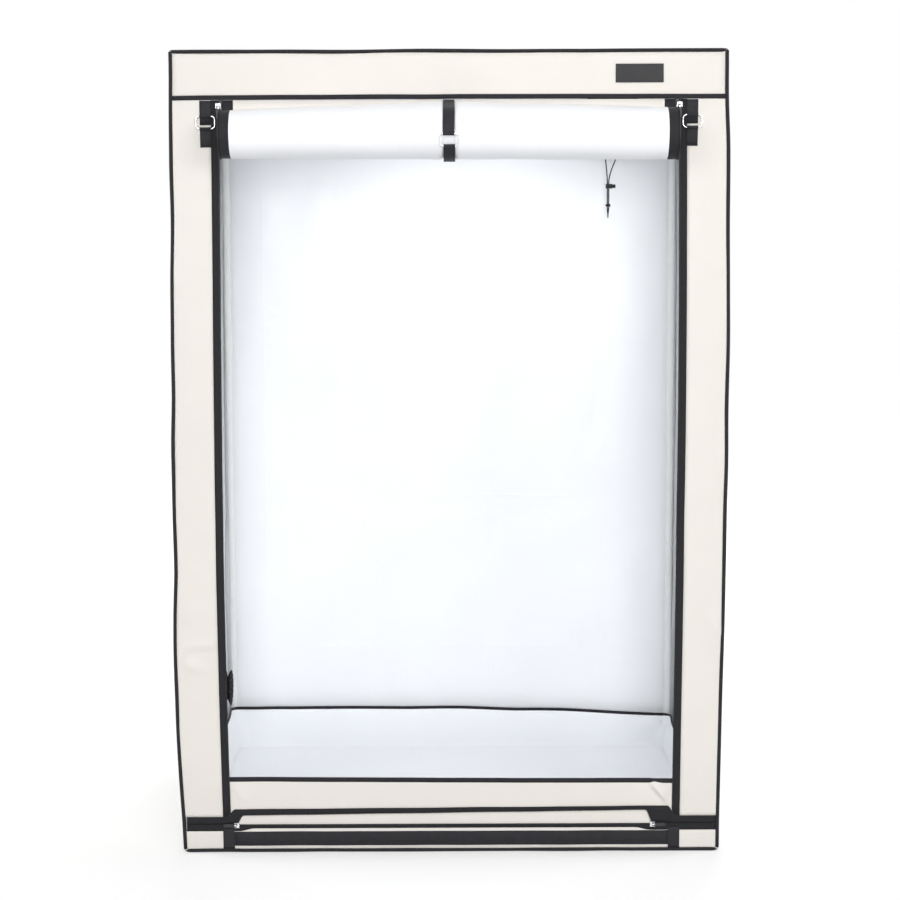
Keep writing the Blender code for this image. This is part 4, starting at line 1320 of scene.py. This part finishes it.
@dataclass(frozen=True)
class DoorRoll:
    """The door, wound up under the header with its white inside showing and its black edges at the ends."""

    half: float = 0.492
    edge_from: float = 0.4675
    radius: float = 0.0543
    core: float = 0.012
    turns: float = 6.75
    per_turn: int = 28
    fall: int = 3
    cloth: float = 0.0022
    length: float = 1.44
    teeth_inset: float = 0.0012
    teeth_lift: float = 0.0004
    teeth_pitch: float = 0.0024

    def girth(self, x: float, angle: float) -> float:
        """How much fuller the roll is at a place, fat beside the strap and slim at the ends.

        Args:
            x: the place across.
            angle: the place round it, 0 at the back and turning upwards.

        Returns:
            What is added to its radius.
        """
        slim = max(0.0, 1 - abs(x) / self.edge_from) ** 0.9
        full = 0.0195 * max(0.0, sin(angle)) ** 1.4 + 0.0060 * max(0.0, -cos(angle)) ** 2
        sag = (0.0049 + 0.0054 * x) * max(0.0, -sin(angle)) ** 1.5
        right = 0.0042 * ease((x - 0.05) / 0.42) * max(0.0, sin(angle))
        return (full * slim + sag + right - 0.0012 * (1 - slim)) * (1 - exp(-(x / 0.0142) ** 14))

    def place(self, x: float, step: int, steps: int) -> Vector:
        """A point of the door: down from the header, then wound forward and inward.

        Args:
            x: the place across.
            step: the step down the door.
            steps: how many steps the door has.

        Returns:
            The point.
        """
        y, z = ROLL_MIDDLE
        if step < self.fall:
            share = step / self.fall
            return Vector((x, y + self.radius, FRONT_TOP + (z - FRONT_TOP) * share))
        wound = (step - self.fall) / (steps - self.fall)
        angle = -2 * pi * self.turns * wound
        outer = 1 - wound
        soft = self.girth(x, angle) * outer ** 1.5
        wrinkle = 0.0007 * swell(x, cos(angle) * 0.1, sin(angle) * 0.1, 0.09, wound * 2)
        held = ease((self.half - abs(x)) / 0.1)
        radius = self.radius - (self.radius - self.core) * wound + soft + wrinkle * held
        return Vector((x, y + radius * cos(angle), z + radius * sin(angle)))

    def build(self) -> None:
        """Make the wound door, and the zip teeth along its outer turn's edges."""
        steps = self.fall + round(self.turns * self.per_turn)
        beside_strap = (0, 0.009, 0.0128, 0.0157, 0.026, 0.040, 0.060)
        between = (0.09 + 0.03 * count for count in range(12))
        at_end = (0.450, 0.462, self.edge_from, 0.4685, 0.476, 0.484, self.half)
        places = sorted({round(sign * x, 4) for x in (*beside_strap, *between, *at_end) for sign in (-1, 1)})
        shape = bmesh.new()
        cloth = shape.loops.layers.uv.new(CLOTH_MAP)
        bmesh.ops.create_grid(shape, x_segments=len(places) - 1, y_segments=steps, size=0.5)
        for vert in shape.verts:
            column = round((vert.co.x + 0.5) * (len(places) - 1))
            vert.co = Vector((places[column], (0.5 - vert.co.y) * steps, 0))
        for face in shape.faces:
            middle = sum(abs(vert.co.x) for vert in face.verts) / len(face.verts)
            face.material_index = 1 if middle > self.edge_from else 0
            for loop in face.loops:
                loop[cloth].uv = (loop.vert.co.x, loop.vert.co.y / steps * self.length)
        for vert in shape.verts:
            x, step = vert.co.x, round(vert.co.y)
            vert.co = self.place(x, step, steps)
        bmesh.ops.reverse_faces(shape, faces=shape.faces)
        roll = finished("door_roll_cloth", shape, BODY, INSIDE, BINDING, OUTSIDE, BINDING, node="door_roll")
        thicken(roll, self.cloth, -1, 2)
        shape = bmesh.new()
        for side in (-1, 1):
            line = []
            for step in range(self.fall + 2 * self.per_turn):
                point = self.place(side * (self.half - self.teeth_inset), step, steps)
                out = point - Vector((point.x, *ROLL_MIDDLE)) if step > self.fall else Vector((0, 1, 0))
                line.append(point + out.normalized() * self.teeth_lift)
            teeth(shape, line, Vector((-side, 0, 0)), self.teeth_pitch)
        finished("door_roll_teeth", shape, BODY, TEETH, smooth=False)


# Straps and rings

@dataclass(frozen=True)
class RollStraps:
    """The webbing that holds the rolled door, with its oval rings and hanging tabs."""

    strap_radius: float = 0.05605
    ring_width: float = 0.0408
    ring_height: float = 0.0268
    ring_corner: float = 0.0078
    below_front: float = radians(18)
    loop_turn: float = radians(250)
    loop_radius: float = 0.00265
    plane: float = -0.45355
    top: float = 1.67965
    side_x: float = 0.5281
    side_bar: tuple[float, float] = (-0.4562, 1.6464)
    tab: float = 0.040
    tail: float = 0.052
    under: float = 0.0055
    second_layer: float = 0.0009
    overlap: float = 0.012

    def ring(self, name: str, place: Matrix, body: str) -> None:
        """An oval ring of round wire.

        Args:
            name: the CAD node it stands for.
            place: where it goes, from a ring that lies flat in X and Y.
            body: the body it rides on.
        """
        outline = rounded_outline(self.ring_width / 2, self.ring_height / 2, self.ring_corner, 8)
        points = [place @ Vector((x, y, 0)) for x, y in outline]
        swept(name + "_wire", body, CHROME, round_profile(RING_TUBE, 14),
              [(points, place.col[2].to_3d(), True)], name)

    @staticmethod
    def strap(name: str, path: Sequence[Point], x: float, body: str, drift: float) -> None:
        """A length of webbing along a path seen from the side.

        Args:
            name: the CAD node it stands for.
            path: its places in Y and Z.
            x: its place across.
            body: the body it rides on.
            drift: how far its end leans sideways.
        """
        points = [Vector((x, y, z)) for y, z in path]
        low, high = min(point.z for point in points), max(point.z for point in points)
        for point in points:
            point.x += drift * (high - point.z) / (high - low)
        swept(name + "_webbing", body, STRAPPING, tape_profile(STRAP_WIDTH, STRAP_THICKNESS),
              [(points, ACROSS, False)], name)

    def build(self) -> None:
        """Make the straps, rings and tabs."""
        self.build_centre()
        for name, side in (("left", -1), ("right", 1)):
            self.build_side(name, side)

    def build_centre(self) -> None:
        """The centre strap's two lengths round the roll, and the ring between them."""
        y, z = ROLL_MIDDLE
        bar_radius = self.strap_radius + self.loop_radius
        half_angle = atan2(self.ring_height / 2, bar_radius)
        away = Vector((self.plane - y, self.top - z))
        touch = atan2(away.y, away.x) + acos(self.strap_radius / away.length)
        for name, sign in (("upper", -1), ("lower", 1)):
            bar_angle = pi + self.below_front + sign * half_angle
            bar = (y + bar_radius * cos(bar_angle), z + bar_radius * sin(bar_angle))
            if sign < 0:
                path = [(self.plane, self.top),
                        *flat_arc(ROLL_MIDDLE, self.strap_radius, touch, bar_angle, 14)]
            else:
                path = [(y + self.strap_radius, self.top),
                        *flat_arc(ROLL_MIDDLE, self.strap_radius, 2 * pi, bar_angle, 20)]
                path = [(deep, high - self.under * ease((bar[1] - high) / 0.02)) for deep, high in path]
            back = bar_angle + pi
            path += flat_arc(bar, self.loop_radius, back, back + sign * self.loop_turn, 12)[1:]
            self.strap(f"centre_strap_{name}", path, 0, BODY, 0.0008 * sign)
        reach = bar_radius * cos(half_angle)
        angle = pi + self.below_front
        place = Matrix.Translation((0, y + reach * cos(angle), z + reach * sin(angle)))
        self.ring("centre_ring", place @ Matrix.Rotation(pi / 2 + self.below_front, 4, "X"), BODY)

    def build_side(self, name: str, side: int) -> None:
        """One side's strap, its ring and the tab that hangs on it.

        Args:
            name: left or right.
            side: -1 on the left and 1 on the right.
        """
        x, (deep, high) = side * self.side_x, self.side_bar
        loop = flat_arc(self.side_bar, self.loop_radius, 0, -self.loop_turn, 12)
        before = self.plane - self.second_layer
        start = [(self.plane, self.top - self.tail), (self.plane + 0.0002, self.top - self.tail / 2),
                 (self.plane, self.top), (before, self.top - 0.001), (before, self.top - self.overlap)]
        self.strap(name + "_side_strap", [*start, *loop], x, BODY, 0)
        place = Matrix.Translation((x, deep, high - self.ring_height / 2))
        self.ring(name + "_ring", place @ Matrix.Rotation(pi / 2, 4, "X"), name + "_ring")
        lower = (deep, high - self.ring_height)
        hang = [(deep + self.loop_radius, lower[1] - self.tab),
                (deep + self.loop_radius - 0.0008, lower[1] - self.tab / 2),
                *flat_arc(lower, self.loop_radius, 0, self.loop_turn, 12)]
        self.strap(name + "_strap_tab", hang, x, name + "_strap_tab", -side * 0.0006)


# Duct ports and drawcord

@dataclass(frozen=True)
class PortSleeve:
    """A cloth sleeve sewn into a port, its end gathered by a cord."""

    name: str
    place: Matrix
    radius: float = 0.080
    length: float = 0.080
    flange: float = 0.010
    pleats: int = 17
    steps: int = 136
    cloth: float = 0.0009
    cut: float = 0.130
    neck: float = 0.83
    tie_radius: float = 0.0268
    pucker_radius: float = 0.0252
    outline: tuple[Point, ...] = (
        (0.03, 1.0), (0.14, 0.99), (0.25, 0.97), (0.39, 0.92), (0.52, 0.84), (0.62, 0.73), (0.70, 0.60),
        (0.76, 0.46), (0.80, 0.34), (0.83, 0.31), (0.86, 0.34), (0.94, 0.47), (0.985, 0.52))

    def build(self) -> None:
        """Make the sleeve, its tie and the gathered cloth in its neck."""
        shape = self.turned()
        for vert in shape.verts:
            self.pleat(vert)
        shape.transform(self.place)
        sleeve = thicken(finished(self.name + "_cloth", shape, BODY, SLEEVING, node=self.name), self.cloth, 0)
        neck = circle_points(Vector((0, 0, self.neck * self.length)), Vector((self.tie_radius, 0, 0)),
                             Vector((0, self.tie_radius, 0)), 40)
        swept(self.name + "_tie", BODY, CORDAGE, round_profile(0.0014, 8),
              [([self.place @ point for point in neck], None, True)])
        self.build_pucker()

    def turned(self) -> Shape:
        """Turn the sleeve's outline round its middle.

        Returns:
            The smooth sleeve's bmesh, with its map in metres.
        """
        profile = [(self.radius + self.flange, 0.0016), (self.radius + 0.004, 0.0018)]
        profile += [(share * self.radius, out * self.length) for out, share in self.outline]
        shape = bmesh.new()
        cloth = shape.loops.layers.uv.new(CLOTH_MAP)
        verts = [bmesh.ops.create_vert(shape, co=(radius, 0, out))["vert"][0] for radius, out in profile]
        edges = [shape.edges.new(pair) for pair in zip(verts, verts[1:])]
        bmesh.ops.spin(shape, geom=[*verts, *edges], cent=(0, 0, 0), axis=(0, 0, 1), angle=2 * pi,
                       steps=self.steps, use_merge=True)
        bmesh.ops.recalc_face_normals(shape, faces=shape.faces)
        for face in shape.faces:
            angles = [atan2(loop.vert.co.y, loop.vert.co.x) for loop in face.loops]
            for loop, angle in zip(face.loops, angles):
                angle += 2 * pi if max(angles) - min(angles) > pi and angle < 0 else 0
                loop[cloth].uv = (angle * self.radius, loop.vert.co.z)
        return shape

    def pleat(self, vert: bmesh.types.BMVert) -> None:
        """Move a point into the pleats, which deepen towards the neck.

        Args:
            vert: a point of the turned sleeve.
        """
        radius, angle = vert.co.xy.length, atan2(vert.co.y, vert.co.x)
        drawn = ease((0.90 * self.radius - radius) / (0.45 * self.radius)) \
            * ease((vert.co.z / self.length - 0.25) / 0.37)
        uneven = 0.8 + 0.5 * swell(cos(angle), sin(angle), 0, 0.5, 3)
        fold = cos(self.pleats * angle + 1.3 * swell(cos(angle), sin(angle), 0, 0.7)) * uneven
        change = drawn * fold * 0.0042 + 0.0012 * swell(*vert.co, 0.05)
        vert.co.xy *= (radius + min(change, 0.004)) / radius

    def build_pucker(self) -> None:
        """The cloth gathered in the neck, sunk in its middle."""
        shape = bmesh.new()
        shape.loops.layers.uv.new(CLOTH_MAP)
        bmesh.ops.create_circle(shape, cap_ends=True, cap_tris=True, segments=self.steps,
                                radius=self.pucker_radius, calc_uvs=True)
        for vert in shape.verts:
            out = vert.co.xy.length / self.pucker_radius
            fold = 0.0022 * out * cos(self.pleats * atan2(vert.co.y, vert.co.x))
            vert.co.z = self.neck * self.length - 0.014 * (1 - out) + fold
        shape.transform(self.place)
        thicken(finished(self.name + "_pucker", shape, BODY, SLEEVING), self.cloth, 0)


@dataclass(frozen=True)
class Drawcord:
    """The cord of the back port's sleeve: one unbroken loop through a spring lock, knotted near its end."""

    radius: float = 0.0015
    length: float = 0.479
    route: tuple = ((0.4048, 0.3845, 1.6587), (0.4044, 0.3845, 1.6350), (0.4050, 0.3843, 1.6060),
                    (0.4066, 0.3841, 1.5780), (0.4092, 0.3840, 1.5500), (0.4113, 0.3840, 1.5250),
                    (0.4117, 0.3840, 1.5020), (0.4117, 0.3840, 1.4800), (0.4117, 0.3840, 1.4640),
                    (0.4117, 0.3840, 1.4520), (0.4122, 0.3815, 1.4420), (0.4129, 0.3782, 1.4330),
                    (0.4135, 0.3840, 1.4262), (0.4141, 0.3898, 1.4330), (0.4148, 0.3865, 1.4420),
                    (0.4153, 0.3840, 1.4520), (0.4153, 0.3840, 1.4640), (0.4153, 0.3840, 1.4800),
                    (0.4153, 0.3840, 1.5020), (0.4158, 0.3840, 1.5250), (0.4222, 0.3840, 1.5500),
                    (0.4336, 0.3841, 1.5780), (0.4450, 0.3843, 1.6060), (0.4528, 0.3845, 1.6350),
                    (0.4552, 0.3845, 1.6587))
    knot: tuple[float, float, float] = (0.4135, 0.3840, 1.4576)

    def smooth(self, steps: int = 3) -> list[Vector]:
        """The route with more points, on a curve through them all.

        Args:
            steps: the steps between two of its points.

        Returns:
            The finer route.
        """
        points = [Vector(point) for point in self.route]
        points = [2 * points[0] - points[1], *points, 2 * points[-1] - points[-2]]
        path = []
        for a, b, c, d in zip(points, points[1:], points[2:], points[3:]):
            for step in range(steps):
                t = step / steps
                path.append((2 * b + (c - a) * t + (2 * a - 5 * b + 4 * c - d) * t ** 2
                             + (3 * b - a - 3 * c + d) * t ** 3) / 2)
        return [*path, points[-2]]

    def build(self) -> None:
        """Make the cord and its knot."""
        path = self.smooth()
        cord = swept("drawcord_braid", BODY, CORDAGE, round_profile(self.radius, 10), [(path, None, False)],
                     "drawcord")
        middle = Vector(self.knot)
        wraps = [middle + Vector((0.0050 * cos(angle), 0.0033 * sin(angle), 0.0011 * (angle / pi - 2)))
                 for angle in (pi * step / 8 for step in range(33))]
        knot = swept("drawcord_knot", BODY, CORDAGE, round_profile(self.radius, 8), [(wraps, None, False)])


# Spill tray

@dataclass(frozen=True)
class SpillTray:
    """The soft lift-out tray on the floor, with a black hem round its rim."""

    half_x: float = 0.5735
    half_y: float = 0.4235
    low: float = 0.0018
    top: float = 0.1195
    cell: float = 0.018
    rows: int = 9
    bend: float = 0.0251
    flare: float = 0.0200
    corner: float = 0.007
    hem: Point = (0.0084, 0.0040)
    hem_drop: float = 0.0035
    eyelets: tuple[Point, ...] = ((-0.568, 0.092), (0.555, 0.086))
    eyelet_radius: float = 0.0036
    eyelet_wire: float = 0.0011

    @property
    def wall(self) -> float:
        """The height of its wall."""
        return self.top - self.low

    def bow(self, place: Vector, outward: Vector, share: float) -> Vector:
        """Where a point of the wall goes: a soft bow that grows towards the rim.

        Args:
            place: the point on a straight wall.
            outward: the way the wall looks.
            share: 0 at the floor and 1 at the rim.

        Returns:
            The point on the soft wall.
        """
        ends = ease((self.half_x - abs(place.x)) / 0.09 if abs(outward.y) > 0.5
                    else (self.half_y - abs(place.y)) / 0.09)
        inward = 0.010 * share * ends * (0.55 + 0.45 * swell(place.x, place.y, 0, 0.3, 8))
        inward += 0.0016 * swell(place.x, place.y, place.z, 0.08, 2) * ends
        if outward.y > 0.5:
            across = place.x - 0.525
            inward += 0.0090 * exp(-(across / 0.020) ** 2 - ((share - 0.62 - 4 * across) / 0.2) ** 2)
        above = max(0, (place.z - self.bend) / (self.top - self.bend))
        widen = 1 + self.flare / self.half_x * above
        lower = share ** 1.5 * self.sag(place)
        return Vector((place.x * widen, place.y, place.z - lower)) - outward * max(inward, 0)

    def sag(self, place: Vector) -> float:
        """How far the rim hangs below its height, most at the back right corner and least in front.

        Args:
            place: the point on a straight wall.

        Returns:
            How far it hangs.
        """
        along = 0.0035 * ease((-0.45 - place.x) / 0.14) + 0.0065 * ease(place.x / 0.2) \
            + 0.0170 * ease((place.x - 0.22) / 0.38)
        uneven = 0.0022 * (0.6 + swell(place.x, place.y, 0, 0.22, 5))
        return max(along * ease((place.y + 0.25) / 0.6) + uneven, 0)

    def outward(self, place: Vector) -> Vector:
        """The way the nearest wall looks.

        Args:
            place: a point of the tray.

        Returns:
            That wall's outward direction.
        """
        if self.half_x - abs(place.x) < self.half_y - abs(place.y):
            return Vector((1 if place.x > 0 else -1, 0, 0))
        return Vector((0, 1 if place.y > 0 else -1, 0))

    def build(self) -> None:
        """Make the tray, its hem and its eyelets."""
        shape = self.floor()
        rim = self.rim(self.raise_walls(shape))
        for vert in shape.verts:
            if vert.co.z > self.low + 0.001:
                vert.co = self.bow(vert.co.copy(), self.outward(vert.co), (vert.co.z - self.low) / self.wall)
        bmesh.ops.recalc_face_normals(shape, faces=shape.faces)
        if sum(face.normal.z for face in shape.faces) > 0:
            bmesh.ops.reverse_faces(shape, faces=shape.faces)
        tray = finished("spill_tray_cloth", shape, "spill_tray", INSIDE, INSIDE, node="spill_tray")
        thicken(tray, CLOTH, -1)
        points = [self.bow(point, self.outward(point), 1) - self.outward(point) * CLOTH / 2
                  - UPWARD * self.hem_drop for point in rim]
        hem = swept("spill_tray_hem", "spill_tray", BINDING, tape_profile(*self.hem),
                    [(points, UPWARD, True)])
        rings = []
        for x, z in self.eyelets:
            middle = self.bow(Vector((x, self.half_y, z)), Vector((0, 1, 0)), (z - self.low) / self.wall)
            rings.append((circle_points(middle - Vector((0, 0.0016, 0)), ACROSS * self.eyelet_radius,
                                        UPWARD * self.eyelet_radius, 16), None, True))
        eyelet = swept("spill_tray_eyelets", "spill_tray", CHROME, round_profile(self.eyelet_wire, 8), rings)

    def floor(self) -> Shape:
        """The tray's floor, before its walls.

        Returns:
            Its bmesh, with its corners cut off and its map in metres.
        """
        shape = bmesh.new()
        shape.loops.layers.uv.new(CLOTH_MAP)
        bmesh.ops.create_grid(shape, x_segments=round(2 * self.half_x / self.cell),
                              y_segments=round(2 * self.half_y / self.cell), size=0.5,
                              matrix=Matrix.Diagonal((2 * self.half_x, 2 * self.half_y, 1, 1)))
        for vert in shape.verts:
            if len(vert.link_faces) == 1:
                vert.co -= Vector((self.corner if vert.co.x > 0 else -self.corner,
                                   self.corner if vert.co.y > 0 else -self.corner, 0))
        map_flat(shape)
        for vert in shape.verts:
            vert.co.z = self.low
        return shape

    def raise_walls(self, shape: Shape) -> list[bmesh.types.BMEdge]:
        """Raise the four walls from the floor's edges, row by row, with their map in metres.

        Args:
            shape: the bmesh that holds the floor.

        Returns:
            The walls' upper edges.
        """
        cloth = shape.loops.layers.uv[CLOTH_MAP]
        edges = [edge for edge in shape.edges if edge.is_boundary]
        for row in range(1, self.rows + 1):
            made = bmesh.ops.extrude_edge_only(shape, edges=edges)["geom"]
            moved = set(newest(made, bmesh.types.BMVert))
            z = self.low + self.wall * row / self.rows
            for face in newest(made, bmesh.types.BMFace):
                places = [vert.co.x for vert in face.verts]
                runs_across = max(places) - min(places) > 1e-5
                for loop in face.loops:
                    along = loop.vert.co.x if runs_across else loop.vert.co.y
                    height = z if loop.vert in moved else z - self.wall / self.rows
                    loop[cloth].uv = (along, 1 + height)
            for vert in moved:
                vert.co.z = z
            edges = [edge for edge in newest(made, bmesh.types.BMEdge) if moved.issuperset(edge.verts)]
        return edges

    @staticmethod
    def rim(edges: list[bmesh.types.BMEdge]) -> list[Vector]:
        """The rim's points in order, anticlockwise from the middle of the left wall.

        Args:
            edges: the rim's edges.

        Returns:
            Their points, one after another.
        """
        verts = {vert for edge in edges for vert in edge.verts}
        return sorted((vert.co.copy() for vert in verts), key=lambda point: atan2(point.y, point.x))


# Header patch and frame

@dataclass(frozen=True)
class HeaderPatch:
    """The bare black patch on the header."""

    low: Point = (0.361, 1.7157)
    size: Point = (0.104, 0.040)
    cloth: float = 0.0009

    def build(self) -> None:
        """Make the patch."""
        board = Board(Vector((self.low[0], FRONT - 0.0021, self.low[1])), Vector((self.size[0], 0, 0)),
                      Vector((0, 0, self.size[1])), 0.004)
        shape = board.cut(lambda x, y: 0.0003 * swell(x, y, 0, 0.03))
        patch = thicken(finished("bare_patch", shape, BODY, PATCH), self.cloth)
        edge = patch.modifiers.new("Round edges", "BEVEL")
        edge.width = self.cloth / 3
        edge.segments = 2
        edge.limit_method = "ANGLE"


class FrameFinish:
    """The frame's tubes, fittings and bars, and the small hard parts, which keep their CAD shapes."""

    TUBES = ("upright", "rail", "corner", "bar")
    BRIGHT = ("slider",)
    BLACK = ("pull", "cord_lock", "button")

    @classmethod
    def build(cls) -> None:
        """Give each kept CAD node its finish."""
        for name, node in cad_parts.items():
            last = name.rsplit("_", 1)[-1]
            if last in cls.TUBES:
                finish = POWDER_COAT
            elif last in cls.BRIGHT:
                finish = CHROME
            elif last in cls.BLACK or name in cls.BLACK:
                finish = PLASTIC
            else:
                continue
            material = WARDROBE.of(finish)
            if node.material_slots:
                for slot in node.material_slots:
                    slot.material = material
            else:
                node.data.materials.append(material)
            LOG.info("%s: finished as %s", name, finish.name)


# Stage

@dataclass(frozen=True)
class Lamp:
    """A soft square lamp that looks at a place."""

    name: str
    place: Circle
    aim: Circle
    size: float
    power: float

    def build(self) -> None:
        """Hang the lamp."""
        light = bpy.data.lights.new(self.name, "AREA")
        light.shape = "SQUARE"
        light.size = self.size
        light.energy = self.power
        lamp = bpy.data.objects.new(self.name, light)
        lamp.location = self.place
        lamp.rotation_euler = (Vector(self.aim) - Vector(self.place)).to_track_quat("-Z", "Y").to_euler()
        bpy.context.scene.collection.objects.link(lamp)


LAMPS = (Lamp("key_lamp", (0.15, -9.5, 1.5), (0, 0, 1.1), 1.8, 240),
         Lamp("right_fill_lamp", (3.3, -5.4, 3.0), (0, 0, 0.9), 2.2, 85),
         Lamp("left_fill_lamp", (-3.3, -5.4, 3.0), (0, 0, 0.9), 2.2, 55),
         Lamp("high_lamp", (0.2, -4.4, 4.6), (0, 0, 0.2), 1.6, 75),
         Lamp("inner_lamp", (0.05, 0, 1.68), (0.05, 0, 0), 0.6, 2.3),
         Lamp("back_lamp", (0.5, 4.6, 4.4), (0, 0, 0.6), 3.5, 250),
         Lamp("left_lamp", (-6.0, 0.6, 2.8), (0, 0, 0.9), 3.0, 175),
         Lamp("right_lamp", (6.0, 0.6, 2.8), (0, 0, 0.9), 3.0, 175))


@dataclass(frozen=True)
class Stage:
    """Camera, lamps, floor and backdrop."""

    camera_place: tuple[float, float, float] = (0.0, -4.7525, 1.422)
    pitch: float = radians(6.71)
    roll: float = radians(-0.20)
    lens: float = 78.3
    world_light: float = 0.16
    floor_glow: tuple[float, float] = (0.50, 0.88)
    glow_reach: tuple[float, float] = (1.2, 9.0)
    floor_reach: float = 30
    floor_drop: float = 0.0004

    def build_camera(self) -> None:
        """Stand the camera where the photograph was taken."""
        camera = bpy.data.objects.new("camera", bpy.data.cameras.new("camera"))
        camera.data.lens = self.lens
        camera.data.sensor_width = 36
        turn = Matrix.Rotation(pi / 2 - self.pitch, 4, "X") @ Matrix.Rotation(self.roll, 4, "Z")
        camera.matrix_world = Matrix.Translation(self.camera_place) @ turn
        bpy.context.scene.collection.objects.link(camera)
        bpy.context.scene.camera = camera

    def build_world(self) -> None:
        """An even light from all sides, which looks white."""
        world = bpy.data.worlds.new("studio")
        bpy.context.scene.world = world
        world.use_nodes = True
        nodes = Nodes(world.node_tree)
        background = next(node for node in nodes.tree.nodes if node.type == "BACKGROUND")
        background.inputs["Color"].default_value = (1, 1, 1, 1)
        feeds = {"Value": nodes.seen(), "To Min": self.world_light, "To Max": 1.0}
        nodes.feed(background.inputs["Strength"], nodes.add("MapRange", feeds).outputs[0])

    def build_floor(self) -> None:
        """A wide pale floor, which looks white but keeps the shadow."""
        shape = bmesh.new()
        bmesh.ops.create_grid(shape, x_segments=1, y_segments=1, size=self.floor_reach)
        mesh = bpy.data.meshes.new("stage_floor")
        shape.to_mesh(mesh)
        shape.free()
        recipe = Recipe("stage_floor_paint", Follow.SPACE)
        away = recipe.add("VectorMath", {0: recipe.where}, operation="LENGTH").outputs["Value"]
        glow = recipe.add("MapRange", dict(enumerate((away, *self.glow_reach, *self.floor_glow)))).outputs[0]
        recipe.dress(Base_Color=(0.50, 0.50, 0.50, 1), Roughness=0.8, Specular_IOR_Level=0.1,
                     Emission_Color=(1, 1, 1, 1),
                     Emission_Strength=recipe.sum("MULTIPLY", recipe.seen(), glow))
        mesh.materials.append(recipe.material)
        floor = bpy.data.objects.new("stage_floor", mesh)
        floor.location.z = -self.floor_drop
        bpy.context.scene.collection.objects.link(floor)

    def build(self) -> None:
        """Set the camera, the lamps, the world and the floor."""
        bpy.context.scene.view_settings.view_transform = "Standard"
        self.build_camera()
        for lamp in LAMPS:
            lamp.build()
        self.build_world()
        self.build_floor()


def main() -> None:
    """Build the sub-assemblies in order and report each piece."""
    logging.basicConfig(level=logging.INFO, format="%(name)s %(message)s")
    Stage().build()
    Drawcord().build()
    Cover().build()
    Bindings().build()
    for name, side in (("left_door", -1), ("right_door", 1)):
        DoorZip(name, side).build()
    BaseZip().build()
    GripBand().build()
    RollStraps().build()
    DoorRoll().build()
    inward = Matrix.Rotation(pi / 2, 4, "X")
    PortSleeve("back_port_sleeve", Matrix.Translation(BACK_PORT) @ inward).build()
    inward = Matrix.Rotation(pi / 2, 4, "Y")
    PortSleeve("left_port_sleeve", Matrix.Translation(LEFT_PORT) @ inward, length=0.058).build()
    SpillTray().build()
    HeaderPatch().build()
    FrameFinish.build()
    bpy.context.view_layer.update()
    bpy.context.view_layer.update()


if __name__ == "__main__":
    main()
